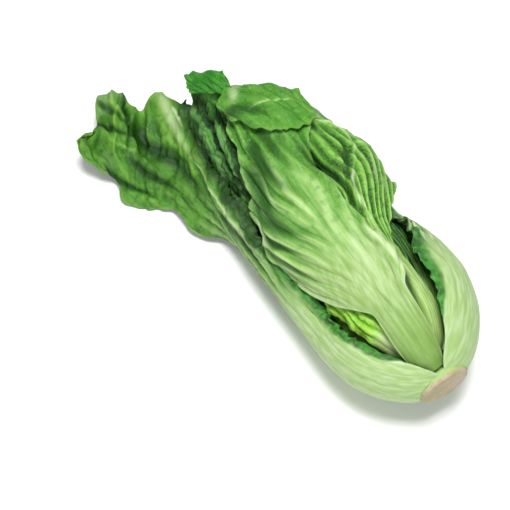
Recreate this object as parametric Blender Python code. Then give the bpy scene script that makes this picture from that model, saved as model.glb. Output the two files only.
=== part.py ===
"""Head mustard, one whole head as cut, lying on its side.

Every leaf is one closed solid: a thick, clasping stalk that thins into a ribbed, waved blade. The leaves
sit round a short cut stem in layers, like the leaves of any heading green, and a folded bud fills the middle.

The head is laid out in millimetres along its own axis. y runs from the cut end to the leaf tips, x to the
right and z up from the axis. An azimuth is the turn about that axis, in degrees, from the top to the left.
"""

import math
from dataclasses import dataclass, field

import bpy
import numpy as np

MM = 0.001

# The height of the head's axis over the surface that it lies on, and where the middle of its footprint is.
AXIS_HEIGHT = 51.6
MIDDLE_X = -34.575
MIDDLE_Y = 183.8

# The underside is pressed towards the surface by the head's own weight: what lies lower than PRESS_FROM moves
# up, by PRESS_RISE at PRESS_DEPTH under it.
PRESS_FROM = 16.0
PRESS_DEPTH = 21.0
PRESS_RISE = 4.0


@dataclass
class Leaf:
    """One leaf. A list of pairs gives a value at places along the midrib, 0 at the foot and 1 at the tip."""

    name: str
    colour: tuple
    midrib: list  # (y, distance from the head's axis), from the foot to the tip
    azimuth: list  # degrees
    left: list  # half width left of the midrib, along the sheet
    right: list  # half width right of the midrib
    curl_left: list  # degrees that the sheet turns round the head for each centimetre of width
    curl_right: list
    thick: list  # thickness at the midrib
    facing: list = field(default_factory=lambda: [(0, 0), (1, 0)])  # degrees that the sheet faces to the left
    edge: float = 1.2  # thickness at the margin
    slant: list = field(default_factory=lambda: [(0, 0), (1, 0)])  # how far y grows for each mm to the left
    round_tip: float = 0.12  # how much sooner the margins end than the midrib
    tip: list = field(default_factory=lambda: [(-1, 1), (1, 1)])  # how far the tip reaches, right to left
    swells: list = field(default_factory=list)  # bulges: (height, u, place, reach across, reach along)
    stalk: float = 22.0  # half width of the stalk
    ribs: float = 3.0  # ribs across half of the stalk
    rib_height: list = field(default_factory=lambda: [(0, 0.6), (0.3, 1.0), (0.5, 2.2), (1, 2.2)])
    fan_from: float = 90.0  # millimetres from the foot where the ribs start to spread from the stalk
    fan: float = 0.8  # how fast they spread to both sides
    sway: float = 2.0  # how far the ribs swing from side to side on the blade
    side_ribs: list = field(default_factory=lambda: [(0, 0), (1, 0)])  # height of ribs off the midrib
    side_gaps: list = field(default_factory=lambda: [(0, 14), (300, 26)])  # (y, mm between those ribs)
    ruffles: float = 5.0  # waves along each margin
    ruffle_left: float = 4.0  # their height
    ruffle_right: float = 4.0
    ruffle_turn: float = 0.0  # where the waves start, in turns
    notch: float = 0.06  # how deep the margin is cut between the waves, as a share of the half width
    across: int = 16
    along: int = 26
    crowd: float = 0.0  # how much closer together the rows of points lie at the tip than at the foot


def through(points, at):
    """The values at `at` of a smooth curve through (place, value) points that never overshoots them."""
    x, y = np.array(points, float).T
    step = np.diff(x)
    rise = np.diff(y) / step
    slope = np.concatenate([rise[:1], np.zeros(len(rise) - 1), rise[-1:]])
    product = rise[:-1] * rise[1:]
    same = product > 0
    slope[1:-1][same] = 2 * product[same] / (rise[:-1] + rise[1:])[same]
    i = np.clip(np.searchsorted(x, at) - 1, 0, len(step) - 1)
    t = np.clip((at - x[i]) / step[i], 0, 1)
    ahead = t * t * (3 - 2 * t)
    bend = t * (1 - t)
    start, end = slope[i] * step[i], slope[i + 1] * step[i]
    return y[i] * (1 - ahead) + y[i + 1] * ahead + bend * ((1 - t) * start - t * end)


def midrib_at(points, place):
    """(y, distance from the axis, whole length) of a smooth line through the points, at places 0 to 1."""
    points = np.array(points, float)
    chord = np.concatenate([[0], np.cumsum(np.hypot(*np.diff(points, axis=0).T))])
    fine = np.linspace(0, chord[-1], 2001)
    y = through(np.column_stack([chord, points[:, 0]]), fine)
    r = through(np.column_stack([chord, points[:, 1]]), fine)
    run = np.concatenate([[0], np.cumsum(np.hypot(np.diff(y), np.diff(r)))])
    at = place * run[-1]
    return np.interp(at, run, y), np.interp(at, run, r), run[-1]


def outward(points):
    """Unit normals of a grid of points, facing away from the head's axis."""
    across, along = np.gradient(points, axis=0), np.gradient(points, axis=1)
    normal = np.cross(along, across)
    return normal / np.linalg.norm(normal, axis=2, keepdims=True)


def pressed(points, half):
    """The middle of a leaf, settled on the surface: its underside, half a thickness lower, rests flat."""
    under = np.clip((PRESS_FROM - points[..., 2]) / PRESS_DEPTH, 0, None)
    moved = points.copy()
    moved[..., 2] = np.maximum(moved[..., 2] + PRESS_RISE * under**2, half)
    return moved


def settled(points):
    """The points with none of them under the surface."""
    return np.dstack([points[..., :2], np.maximum(points[..., 2], 0)])


def leaf_faces(leaf):
    """The leaf's outer and inner faces, each a grid of points across by along, in mm over the surface.

    The ribs stand out of the outer face of the stalk, and fold both faces of the blade.
    """
    u, v = np.meshgrid(
        np.linspace(-1, 1, leaf.across + 1), np.linspace(0, 1, leaf.along + 1), indexing="ij"
    )
    v += leaf.crowd * v * (1 - v)
    place = v * (1 - leaf.round_tip * (u * v) ** 2 - (1 - through(leaf.tip, u)) * v**4)
    y, radius, length = midrib_at(leaf.midrib, place)
    azimuth = np.radians(through(leaf.azimuth, place))
    width = u * np.where(u > 0, through(leaf.left, place), through(leaf.right, place))
    width *= 1 - leaf.notch * blade(place) * np.abs(u) * (1 + np.cos(2 * waves(leaf, u, place)))
    curl = np.where(u > 0, through(leaf.curl_left, place), through(leaf.curl_right, place))
    turn = np.radians(curl) * width / 10
    side = width * np.sinc(turn / math.pi)
    depth = width * turn / 2 * np.sinc(turn / math.tau) ** 2
    facing = azimuth + np.radians(through(leaf.facing, place))
    sine, cosine = np.sin(facing), np.cos(facing)
    lean = through(leaf.slant, place) * width
    sheet = np.stack(
        [
            -np.sin(azimuth) * radius + sine * depth - cosine * side,
            y + lean,
            np.cos(azimuth) * radius - cosine * depth - sine * side + AXIS_HEIGHT,
        ],
        axis=2,
    )
    sheet += outward(sheet) * ruffle(leaf, u, place)[..., None]
    normal = outward(sheet)
    relief = ribs(leaf, width, place, place * length + lean)
    relief = (relief + side_ribs(leaf, u, width, place, place * length + lean))[..., None]
    thin = blade(place)[..., None]
    half = thickness(leaf, u, place)[..., None] / 2
    sheet = pressed(sheet + normal * relief * thin, half[..., 0])
    return settled(sheet + normal * (half + relief * (1 - thin))), sheet - normal * half


def blade(place):
    """How much of the leaf is blade: 0 on the stalk, 1 from the middle of the leaf on."""
    return through([(0, 0), (0.22, 0.05), (0.5, 0.8), (1, 1)], place)


def ribs(leaf, width, place, run):
    """Height of the ribs. They run up the stalk side by side, then spread over the blade and sway."""
    start = np.logaddexp(0, (run - leaf.fan_from) / 8) * 8
    swing = leaf.sway * blade(place) * np.sin(run / 11 + width / 16)
    ray = (width + swing) / (leaf.stalk + leaf.fan * start)
    fold = np.abs(np.cos(math.pi * leaf.ribs * ray))
    return through(leaf.rib_height, place) * (fold - 0.6)


def side_ribs(leaf, u, width, place, run):
    """Height of the side ribs, which leave the midrib in turn, head outward and rise at the margin."""
    off = np.abs(width)
    origin = run - off - 50 * (1 - np.exp(-off / 16)) - 24 * np.abs(u) ** 5
    table = np.arange(-200.0, 500.0)
    turn = np.interp(origin, table, np.cumsum(1 / through(leaf.side_gaps, table)))
    grow = np.clip((off - 5) / 22, 0, 1)
    return through(leaf.side_ribs, place) * grow * (0.5 + 0.5 * np.cos(math.tau * turn) - 0.6)


def waves(leaf, u, place):
    """The turn of the waves along both margins, in radians."""
    return math.tau * (leaf.ruffles * place + leaf.ruffle_turn + 0.3 * np.sign(u))


def ruffle(leaf, u, place):
    """Height of the waves along both margins and the tip, which die out towards the midrib and the stalk.

    Each of the leaf's swells adds a bulge, whose height falls off like a bell around its middle.
    """
    height = np.where(u > 0, leaf.ruffle_left, leaf.ruffle_right)
    margins = np.abs(u) ** 2.5 * np.sin(waves(leaf, u, place))
    height = height * blade(place) * (margins + 0.4 * place**8 * np.sin(7 * u))
    for top, across, along, reach_across, reach_along in leaf.swells:
        bell = -(((u - across) / reach_across) ** 2) - ((place - along) / reach_along) ** 2
        height = height + top * np.exp(bell)
    return height


def thickness(leaf, u, place):
    """Thickness of the leaf: a fleshy stalk that thins to the margins and into the blade."""
    flesh = through(leaf.thick, place)
    return leaf.edge + (flesh - leaf.edge) * (1 - np.abs(u) ** 2) ** 1.5


def corners(index):
    """The four corners of every cell of a grid of points, in order round the cell."""
    return index[:-1, :-1].ravel(), index[1:, :-1].ravel(), index[1:, 1:].ravel(), index[:-1, 1:].ravel()


def solid(name, outer, inner, colour):
    """One closed mesh from two grids of points, split into triangles alike on both faces."""
    rows, columns = outer.shape[:2]
    points = np.concatenate([outer.reshape(-1, 3), inner.reshape(-1, 3)])
    index = np.arange(rows * columns).reshape(rows, columns)
    half = rows // 2
    a, b, c, d = corners(index[half:])
    left = [np.column_stack([a, c, b]), np.column_stack([a, d, c])]
    a, b, c, d = corners(index[: half + 1])
    right = [np.column_stack([a, d, b]), np.column_stack([b, d, c])]
    top = np.concatenate(left + right)
    under = top[:, ::-1] + rows * columns
    rim = np.concatenate([index[:, 0], index[-1, 1:], index[-2::-1, -1], index[0, -2:0:-1]])
    after, below = np.roll(rim, -1), rim + rows * columns
    wall = np.concatenate(
        [np.column_stack([rim, after, below]), np.column_stack([after, np.roll(below, -1), below])]
    )
    make_object(name, points, np.concatenate([top, under, wall]), colour)


def lathe(name, outline, share, sides, colour):
    """One closed round piece: an outline turned about the head's axis, its radius times share(turn, y)."""
    y, radius = np.array(outline, float)[1:-1].T
    turn = np.arange(sides) / sides * math.tau
    turns, ys = np.meshgrid(turn, y)
    radii = radius[:, None] * share(turns, ys)
    rings = np.stack([-np.sin(turns) * radii, ys, np.cos(turns) * radii + AXIS_HEIGHT], axis=2)
    ends = [[0, outline[0][0], AXIS_HEIGHT], [0, outline[-1][0], AXIS_HEIGHT]]
    points = np.concatenate([rings.reshape(-1, 3), ends])
    index = np.arange(rings.shape[0] * sides).reshape(-1, sides)
    beside = np.roll(index, -1, axis=1)
    a, b, c, d = index[:-1].ravel(), index[1:].ravel(), beside[1:].ravel(), beside[:-1].ravel()
    first, last = np.full(sides, index.size), np.full(sides, index.size + 1)
    faces = [
        np.column_stack([a, b, c]), np.column_stack([a, c, d]),
        np.column_stack([first, index[0], beside[0]]), np.column_stack([last, beside[-1], index[-1]]),
    ]
    make_object(name, points, np.concatenate(faces), colour)


def make_object(name, points, faces, colour):
    """One object of the head, in metres from the middle of its footprint on the surface."""
    points = (points - [MIDDLE_X, MIDDLE_Y, 0]) * MM
    mesh = bpy.data.meshes.new(name)
    mesh.from_pydata(points.tolist(), [], faces.tolist())
    mesh.shade_smooth()
    mesh.materials.append(skin(name, colour))
    piece = bpy.data.objects.new(name, mesh)
    bpy.context.scene.collection.objects.link(piece)


def skin(name, colour):
    """A waxy leaf surface of one colour."""
    material = bpy.data.materials.new(name)
    material.use_nodes = True
    shader = material.node_tree.nodes["Principled BSDF"]
    shader.inputs["Base Color"].default_value = (*colour, 1)
    shader.inputs["Roughness"].default_value = 0.45
    shader.inputs["Metallic"].default_value = 0
    return material


def clear_scene():
    for thing in list(bpy.data.objects):
        bpy.data.objects.remove(thing)


PALE = (0.50, 0.68, 0.28)
MID = (0.22, 0.48, 0.10)
DARK = (0.05, 0.25, 0.04)

# Outer right leaf: its broad stalk bulges on the right of the head and thins into a blade under the next one.
OUTER_RIGHT = Leaf(
    name="leaf_outer_right",
    colour=PALE,
    midrib=[
        (6, 18.5), (13, 29), (25, 41), (45, 53), (71, 59), (100, 56), (116, 51), (130, 46), (165, 44),
        (200, 42), (240, 40), (272, 36),
    ],
    azimuth=[(0, -80), (0.1, -76), (0.5, -78), (1, -85)],
    left=[
        (0, 31), (0.04, 37), (0.1, 43), (0.19, 54), (0.3, 58), (0.345, 54), (0.39, 42), (0.5, 30),
        (0.85, 30), (1, 18),
    ],
    right=[(0, 28), (0.1, 44), (0.25, 62), (0.4, 57), (0.5, 50), (0.8, 40), (1, 18)],
    curl_left=[(0, 24), (0.12, 14), (0.25, 9.8), (0.5, 11), (1, 13)],
    curl_right=[(0, 24), (0.12, 14), (0.25, 9.8), (0.5, 11), (1, 13)],
    thick=[(0, 6), (0.1, 8), (0.2, 8.5), (0.45, 5), (0.6, 2), (1, 1.4)],
    stalk=45.0,
    ribs=4.5,
    fan=0.3,
    rib_height=[(0, 0.6), (0.3, 1.2), (0.5, 2.2), (1, 2.2)],
    ruffle_left=3.5,
    ruffle_right=1.0,
)

# Outer left leaf: its stalk clasps the left of the head, its midrib lies along it, and its blade spreads out
# on the surface.
OUTER_LEFT = Leaf(
    name="leaf_outer_left",
    colour=PALE,
    midrib=[
        (6, 18.5), (13, 29), (25, 41), (45, 52), (71, 57), (110, 59), (160, 62), (227, 64), (281, 60),
        (354, 50),
    ],
    azimuth=[(0, 98), (0.1, 95), (0.3, 104), (0.5, 108), (0.7, 106), (0.85, 110), (1, 122)],
    left=[
        (0, 28), (0.08, 42), (0.2, 54), (0.3, 48), (0.45, 30), (0.6, 30), (0.7, 42), (0.79, 72), (0.86, 90),
        (0.93, 80), (1, 46),
    ],
    right=[
        (0, 31), (0.03, 34), (0.07, 37), (0.125, 38), (0.16, 38), (0.205, 36), (0.25, 34), (0.31, 35),
        (0.4, 36), (0.55, 37), (0.6, 35.5), (0.65, 30), (0.7, 25), (0.74, 22.3), (0.88, 23), (1, 14),
    ],
    curl_left=[(0, 24), (0.12, 14), (0.25, 9.5), (0.4, 6), (0.6, -3), (0.75, -9), (1, -9)],
    curl_right=[(0, 24), (0.12, 14), (0.2, 13), (0.28, 19.5), (0.53, 19.5), (0.6, 15), (0.7, 9), (1, 2)],
    facing=[(0, 0), (0.45, 0), (0.75, -45), (0.9, -73), (1, -108)],
    tip=[(-1, 0.98), (-0.3, 0.99), (0.05, 1), (0.27, 0.96), (0.45, 0.995), (0.8, 0.99), (1, 0.95)],
    swells=[(9, 0.6, 0.98, 0.3, 0.07), (-7, 0.33, 0.89, 0.12, 0.07)],
    slant=[(0, 0), (0.6, 0), (0.85, 0.32), (0.93, 0.4), (1, 0.9)],
    round_tip=0.06,
    thick=[(0, 6), (0.1, 8), (0.2, 8.5), (0.45, 6), (0.7, 3.5), (1, 1.4)],
    stalk=40.0,
    ribs=4.5,
    fan=0.5,
    fan_from=220.0,
    rib_height=[(0, 0.6), (0.3, 1.2), (0.5, 2.0), (1, 2.0)],
    side_ribs=[(0, 0), (0.55, 0), (0.75, 4.0), (1, 4.0)],
    side_gaps=[(200, 24), (400, 34)],
    ruffles=4.5,
    ruffle_left=7.0,
    ruffle_right=3.0,
    notch=0.12,
    across=16,
    along=32,
)

# Front leaf: the narrow stalk on top of the head fans out to the left, and the tip folds back over the blade.
FRONT = Leaf(
    name="leaf_front",
    colour=MID,
    midrib=[
        (12, 16), (20, 27), (45, 45), (75, 51), (110, 55), (160, 57), (220, 56), (250, 53), (262, 52),
        (268, 55), (269, 60), (263, 64), (250, 65), (232, 64), (217, 62),
    ],
    azimuth=[(0, 17), (0.18, 17), (0.3, 13), (0.5, 14), (0.7, 10), (1, 8)],
    left=[
        (0, 9), (0.06, 14), (0.1, 15), (0.18, 14), (0.21, 22), (0.25, 39), (0.295, 54), (0.34, 63),
        (0.39, 66), (0.465, 62), (0.547, 53), (0.59, 43), (0.63, 40), (0.7, 34), (0.765, 25), (0.8, 16),
        (0.83, 13), (0.87, 18), (0.92, 29), (1, 27),
    ],
    right=[
        (0, 9), (0.06, 13), (0.15, 16), (0.2, 17), (0.235, 22), (0.28, 17), (0.4, 15), (0.6, 16),
        (0.69, 25), (0.8, 36), (0.87, 40), (1, 32),
    ],
    curl_left=[(0, 30), (0.1, 18), (0.2, 13), (0.35, 10.2), (1, 10)],
    curl_right=[(0, 30), (0.1, 18), (0.2, 13), (0.35, 13), (0.6, 11), (1, 9)],
    thick=[(0, 4), (0.08, 8), (0.2, 9), (0.35, 5.5), (0.6, 3.0), (0.75, 1.6), (1, 1.4)],
    slant=[(0, 0), (0.18, 0), (0.3, 0.25), (0.5, 0.5), (0.68, 0.65), (1, 0.6)],
    round_tip=0.05,
    stalk=17.0,
    ribs=4.5,
    fan_from=65.0,
    fan=0.55,
    sway=3.0,
    rib_height=[(0, 0.6), (0.2, 1.0), (0.35, 1.6), (0.72, 1.6), (0.8, 1.2), (1, 1.6)],
    side_ribs=[(0, 0), (0.2, 0), (0.3, 2.0), (0.45, 3.6), (0.7, 3.6), (0.8, 1.0), (1, 0.8)],
    side_gaps=[(0, 12), (60, 16), (110, 24), (250, 28)],
    ruffle_left=3.5,
    ruffle_right=2.0,
    across=28,
    along=44,
    crowd=0.25,
)

# Under leaf: the same leaf on the far side, which the head lies on.
UNDER = Leaf(
    name="leaf_under",
    colour=MID,
    midrib=[(12, 16), (20, 27), (45, 43), (75, 50), (110, 53), (160, 54), (220, 53), (250, 49), (285, 38)],
    azimuth=[(0, 192), (1, 192)],
    left=[(0, 11), (0.06, 17), (0.15, 23), (0.25, 25), (0.4, 28), (0.48, 38), (0.6, 50), (0.8, 46), (1, 26)],
    right=[(0, 11), (0.06, 17), (0.15, 23), (0.25, 26), (0.4, 38), (0.6, 50), (0.8, 46), (1, 26)],
    curl_left=[(0, 30), (0.1, 18), (0.2, 13), (0.35, 10.8), (1, 12)],
    curl_right=[(0, 30), (0.1, 18), (0.2, 13), (0.35, 10.8), (1, 12)],
    thick=[(0, 4), (0.08, 8), (0.2, 9), (0.4, 5), (0.6, 2.5), (1, 1.4)],
    stalk=20.0,
    ribs=2.5,
    rib_height=[(0, 0.6), (0.3, 1.0), (1, 1.4)],
    ruffle_left=2.0,
    ruffle_right=2.0,
    across=14,
    along=22,
)

# Right side leaf: its swollen stalk shows beside the front one, and its ribbed blade swells over the outer
# right leaf.
SIDE_RIGHT = Leaf(
    name="leaf_side_right",
    colour=MID,
    midrib=[
        (20, 11), (30, 26), (48, 40), (70, 45), (95, 45), (118, 47), (135, 52), (160, 55), (190, 54.5),
        (215, 50), (235, 46.5), (255, 42), (272, 34),
    ],
    azimuth=[(0, -16), (0.15, -15), (0.3, -13), (0.42, -16), (0.65, -32), (0.8, -28), (1, -25)],
    left=[(0, 5), (0.06, 8), (0.15, 10), (0.3, 11), (0.4, 14), (0.5, 22), (0.6, 29), (0.85, 27), (1, 18)],
    right=[
        (0, 5), (0.06, 8), (0.15, 9), (0.25, 8), (0.35, 8), (0.43, 17), (0.5, 31), (0.57, 41), (0.7, 40),
        (0.85, 36), (1, 22),
    ],
    curl_left=[(0, 34), (0.1, 22), (0.3, 18), (0.5, 18), (1, 16)],
    curl_right=[(0, 34), (0.1, 22), (0.3, 15), (0.45, 8), (0.6, 8.5), (1, 13)],
    thick=[(0, 3), (0.08, 5), (0.2, 7), (0.3, 6), (0.45, 3), (0.6, 2.2), (1, 1.4)],
    stalk=13.0,
    ribs=3.0,
    fan_from=90.0,
    fan=0.6,
    rib_height=[(0, 0.6), (0.3, 1.0), (0.45, 3.4), (1, 2.5)],
    ruffle_left=1.0,
    ruffle_right=3.0,
    across=18,
    along=28,
)

# Left side leaf: a dark, puckered blade between the front leaf and the outer left one. Its tip rolls back.
SIDE_LEFT = Leaf(
    name="leaf_side_left",
    colour=DARK,
    midrib=[
        (20, 11), (34, 26), (60, 34), (100, 38.5), (150, 42.5), (200, 44), (250, 46), (272, 47),
        (286, 49.5), (294, 53.5), (298, 59.5), (296, 65), (290, 68.5), (283, 68.8), (277, 66), (274.5, 61),
    ],
    azimuth=[
        (0, 92), (0.14, 86), (0.29, 82), (0.57, 76), (0.745, 52), (0.81, 37), (0.87, 29), (0.92, 27), (1, 27),
    ],
    left=[
        (0, 5), (0.06, 8), (0.12, 12), (0.19, 22), (0.27, 34), (0.38, 37), (0.57, 37), (0.72, 34),
        (0.78, 25), (0.83, 19), (0.87, 18), (0.93, 19), (1, 16),
    ],
    right=[
        (0, 5), (0.06, 8), (0.19, 12), (0.29, 16), (0.38, 25), (0.57, 36), (0.72, 30), (0.8, 16), (0.85, 12),
        (0.9, 10), (0.96, 8), (1, 6),
    ],
    slant=[(0, 0), (0.67, 0), (0.8, 0.62), (0.9, 0.6), (1, 0.4)],
    curl_left=[(0, 34), (0.1, 22), (0.29, 15), (0.48, 14), (0.72, 14), (0.81, 9), (0.9, 5), (1, 5)],
    curl_right=[(0, 34), (0.1, 22), (0.29, 15), (0.48, 12.4), (0.81, 9), (0.9, 5), (1, 5)],
    thick=[(0, 3), (0.08, 5), (0.2, 6), (0.4, 4), (0.55, 2.2), (1, 1.4)],
    stalk=14.0,
    ribs=3.0,
    rib_height=[(0, 0.6), (0.3, 1.0), (0.5, 2.4), (0.69, 2.4), (0.78, 0.7), (1, 0.9)],
    round_tip=0.07,
    ruffle_left=1.2,
    ruffle_right=1.0,
    notch=0.03,
    across=12,
    along=30,
    crowd=0.5,
    facing=[(0, 0), (0.81, 0), (0.9, -8), (1, -8)],
)

# Inner left leaf: young and yellow green, in the gap between the front leaf and the outer left one.
INNER_LEFT = Leaf(
    name="leaf_inner_left",
    colour=MID,
    midrib=[(25, 12), (34, 26), (50, 38), (70, 43), (90, 45.5), (108, 46)],
    azimuth=[(0, 42), (0.5, 48), (1, 54)],
    left=[(0, 4), (0.2, 7), (0.5, 10), (0.75, 16), (1, 10)],
    right=[(0, 4), (0.2, 7), (0.5, 10), (0.75, 14), (1, 9)],
    curl_left=[(0, 34), (0.3, 18), (1, 12)],
    curl_right=[(0, 34), (0.3, 18), (1, 12)],
    thick=[(0, 3), (0.4, 4.5), (1, 1.4)],
    stalk=10.0,
    ribs=1.5,
    ruffle_left=2.0,
    ruffle_right=1.0,
    across=8,
    along=14,
)

# Inner right leaf: its dark pleats fill the gap between the front stalk and the outer right one.
INNER_RIGHT = Leaf(
    name="leaf_inner_right",
    colour=DARK,
    midrib=[(26, 13), (36, 24), (52, 35), (72, 40), (95, 41.5), (125, 42), (152, 41.5)],
    azimuth=[(0, -36), (0.3, -35), (0.6, -37), (1, -44)],
    left=[(0, 3), (0.2, 5), (0.4, 9), (0.7, 12), (1, 9)],
    right=[(0, 4), (0.2, 7), (0.5, 13), (0.75, 16), (1, 10)],
    curl_left=[(0, 34), (0.3, 18), (1, 13)],
    curl_right=[(0, 34), (0.3, 18), (1, 13)],
    thick=[(0, 3), (0.3, 3.5), (1, 1.4)],
    stalk=7.0,
    ribs=2.0,
    fan_from=60.0,
    fan=0.1,
    rib_height=[(0, 0.5), (0.2, 1.6), (1, 2.0)],
    ruffle_left=1.5,
    ruffle_right=1.0,
    across=12,
    along=16,
)

LEAVES = [OUTER_RIGHT, OUTER_LEFT, FRONT, UNDER, SIDE_RIGHT, SIDE_LEFT, INNER_LEFT, INNER_RIGHT]

# Outlines of the two round pieces from end to end, as (y, radius). The stem steps in where each ring of
# leaves stands on it.
STEM = [
    (1.9, 0), (1.5, 8), (0.9, 15.5), (0.9, 17.6), (2.6, 19.6), (8.2, 17.0), (10, 15.8), (13.2, 13.6),
    (18.4, 11.3), (20.8, 9.7), (23.5, 8), (26, 5.5), (27.5, 0),
]
HEART = [
    (28.4, 0), (29, 5), (33, 12), (40, 17.5), (50, 22), (62, 25.5), (78, 28.5), (96, 31), (115, 33),
    (135, 34.5), (157, 35.5), (180, 36), (200, 36), (218, 35), (235, 33), (250, 29.5), (262, 25),
    (273, 18.5), (281, 11), (286, 0),
]


def bud(turn, y):
    """Radius of the heart, as a share of its outline: rolled leaves, each with a free edge over the next."""
    edge = (3 * turn / math.tau + y / 90 + 0.25 * np.sin(turn)) % 1
    crease = 0.04 * np.cos(9 * turn + y / 25) * np.clip(y / 150, 0, 1)
    return 1 - 0.13 * edge**2 - crease


def butt(turn, y):
    """Radius of the stem, as a share of its outline: not quite round."""
    return 1 - 0.025 * (1 + np.sin(3 * turn + 0.5)) * np.clip(1 - y / 20, 0, 1)


clear_scene()
for leaf in LEAVES:
    solid(leaf.name, *leaf_faces(leaf), leaf.colour)
lathe("stem", STEM, butt, 24, PALE)
lathe("heart", HEART, bud, 30, MID)
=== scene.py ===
"""Head mustard, one whole head as cut, lying on its side.

Lengths are in millimetres along the head: y runs from the cut end to the leaf tips, x to the right and z up
from the surface that the head lies on. An azimuth is the turn about the head's axis, in degrees, from the top
to the left. Every piece is moved to metres about the middle of the head's footprint when it is put in.
"""

import math
from dataclasses import dataclass

import bpy
import numpy as np
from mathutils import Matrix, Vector


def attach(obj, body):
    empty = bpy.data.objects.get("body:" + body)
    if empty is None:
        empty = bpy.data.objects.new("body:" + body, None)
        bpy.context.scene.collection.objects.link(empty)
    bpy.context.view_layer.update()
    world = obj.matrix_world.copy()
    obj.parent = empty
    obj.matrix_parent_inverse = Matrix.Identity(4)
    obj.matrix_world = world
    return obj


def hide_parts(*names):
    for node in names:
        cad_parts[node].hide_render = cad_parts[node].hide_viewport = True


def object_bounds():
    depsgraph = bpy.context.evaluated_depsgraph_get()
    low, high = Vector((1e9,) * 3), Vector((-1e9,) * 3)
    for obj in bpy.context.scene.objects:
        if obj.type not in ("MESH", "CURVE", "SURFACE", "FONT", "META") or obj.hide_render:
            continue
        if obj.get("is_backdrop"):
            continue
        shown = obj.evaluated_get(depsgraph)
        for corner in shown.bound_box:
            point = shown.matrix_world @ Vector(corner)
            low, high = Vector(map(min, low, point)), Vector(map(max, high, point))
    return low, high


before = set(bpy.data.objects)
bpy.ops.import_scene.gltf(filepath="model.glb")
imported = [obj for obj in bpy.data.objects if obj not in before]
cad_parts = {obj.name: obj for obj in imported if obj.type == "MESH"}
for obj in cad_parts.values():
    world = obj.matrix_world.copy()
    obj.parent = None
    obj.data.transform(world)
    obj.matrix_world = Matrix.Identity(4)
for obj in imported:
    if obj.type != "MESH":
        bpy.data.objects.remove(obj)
cad_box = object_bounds()

# Cut stem. The short stump that every leaf stands on, sliced across when the head was cut, so that its end
# has dried to tan while the flesh behind it is still pale green.
AXIS_HEIGHT = 51.6  # of the head's axis over the surface
FOOTPRINT_MIDDLE = (-34.575, 183.8, 0)
METRES = 0.001  # in a millimetre
CELLS = 64  # after which the noise repeats


def noise(x, y, seed):
    """Smooth random heights from about -1 to 1: random slopes at whole x and y, blended across each cell.

    A share t of the way across a cell, the blend stands at t^3 (6 t^2 - 15 t + 10).
    """
    turn = np.random.default_rng(seed).uniform(0, math.tau, (CELLS, CELLS))
    column, row = np.floor(x).astype(int), np.floor(y).astype(int)
    right, up = x - column, y - row
    across, above = (t**3 * (t * (6 * t - 15) + 10) for t in (right, up))

    def slope(i, j):
        angle = turn[(column + i) % CELLS, (row + j) % CELLS]
        return np.cos(angle) * (right - i) + np.sin(angle) * (up - j)

    low = slope(0, 0) + across * (slope(1, 0) - slope(0, 0))
    high = slope(0, 1) + across * (slope(1, 1) - slope(0, 1))
    return 1.5 * (low + above * (high - low))


def around(turn, y, radius):
    """Points at a turn about the head's axis in radians, a place y along it and a distance from it."""
    return np.stack([-np.sin(turn) * radius, y, np.cos(turn) * radius + AXIS_HEIGHT], axis=-1)


def put_in(name, points, faces, masks, maps, material, node, slot):
    """One piece from points in mm and four-cornered faces, with its masks and its maps in decimetres."""
    mesh = bpy.data.meshes.new(name)
    mesh.vertices.add(len(points))
    mesh.vertices.foreach_set("co", ((points - FOOTPRINT_MIDDLE) * METRES).ravel())
    mesh.loops.add(faces.size)
    mesh.loops.foreach_set("vertex_index", faces.ravel())
    mesh.polygons.add(len(faces))
    mesh.polygons.foreach_set("loop_start", np.arange(len(faces)) * 4)
    mesh.update(calc_edges=True)
    for place, flat in maps.items():
        mesh.uv_layers.new(name=place).uv.foreach_set("vector", flat[faces.ravel()].ravel() / 100)
    for mask, values in masks.items():
        mesh.attributes.new(mask, "FLOAT", "POINT").data.foreach_set("value", values.ravel())
    mesh.shade_smooth()
    mesh.materials.append(material)
    piece = bpy.data.objects.new(name, mesh)
    bpy.context.scene.collection.objects.link(piece)
    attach(piece, "root")
    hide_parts(node)


def lathe(name, outline, share, sides, rings, **looks):
    """An outline of (y, radius) turned about the axis, its radius times share(turn, y), closed at both ends.

    Each end has a lid of four-cornered faces, which span its smallest ring from one side to the other. The
    mask `end` falls from 1 at the low end to 0 at 7 mm from it, and a second mask shows where share is below
    1, for painted shade in those hollows.
    """
    outline = np.array(outline, float)
    run = np.concatenate([[0], np.cumsum(np.hypot(*np.diff(outline, axis=0).T))])
    at = np.linspace(0, run[-1], rings)
    at[[0, -1]] = run[-1] * np.array([1e-4, 1 - 1e-4])
    y, radius = np.interp(at, run, outline[:, 0]), np.interp(at, run, outline[:, 1])
    turn, ys = np.meshgrid(np.arange(sides) / sides * math.tau, y)
    shares = share(turn, ys)
    points = around(turn, ys, radius[:, None] * shares).reshape(-1, 3)
    index = np.arange(points.shape[0]).reshape(rings, sides)
    beside = np.roll(index, -1, axis=1)
    faces = np.stack([index[:-1], index[1:], beside[1:], beside[:-1]], axis=-1).reshape(-1, 4)
    half = sides // 2
    for ring, step in ((index[0], 1), (index[-1], -1)):
        strip = [ring[: half], ring[1 : half + 1], ring[-2 : half - 2 : -1], ring[-1 : half - 1 : -1]]
        lid = np.stack(strip, axis=-1)[:-1]
        faces = np.concatenate([faces, lid[:, ::step]])
    flat = np.stack([turn * radius[:, None], ys], axis=-1).reshape(-1, 2)
    masks = {"end": np.clip(1 - (ys - ys.min()) / 7, 0, 1), "sunk_shade": np.clip((1 - shares) * 5, 0, 1)}
    put_in(name, points, faces, masks, {"flat": flat}, **looks)


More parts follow.
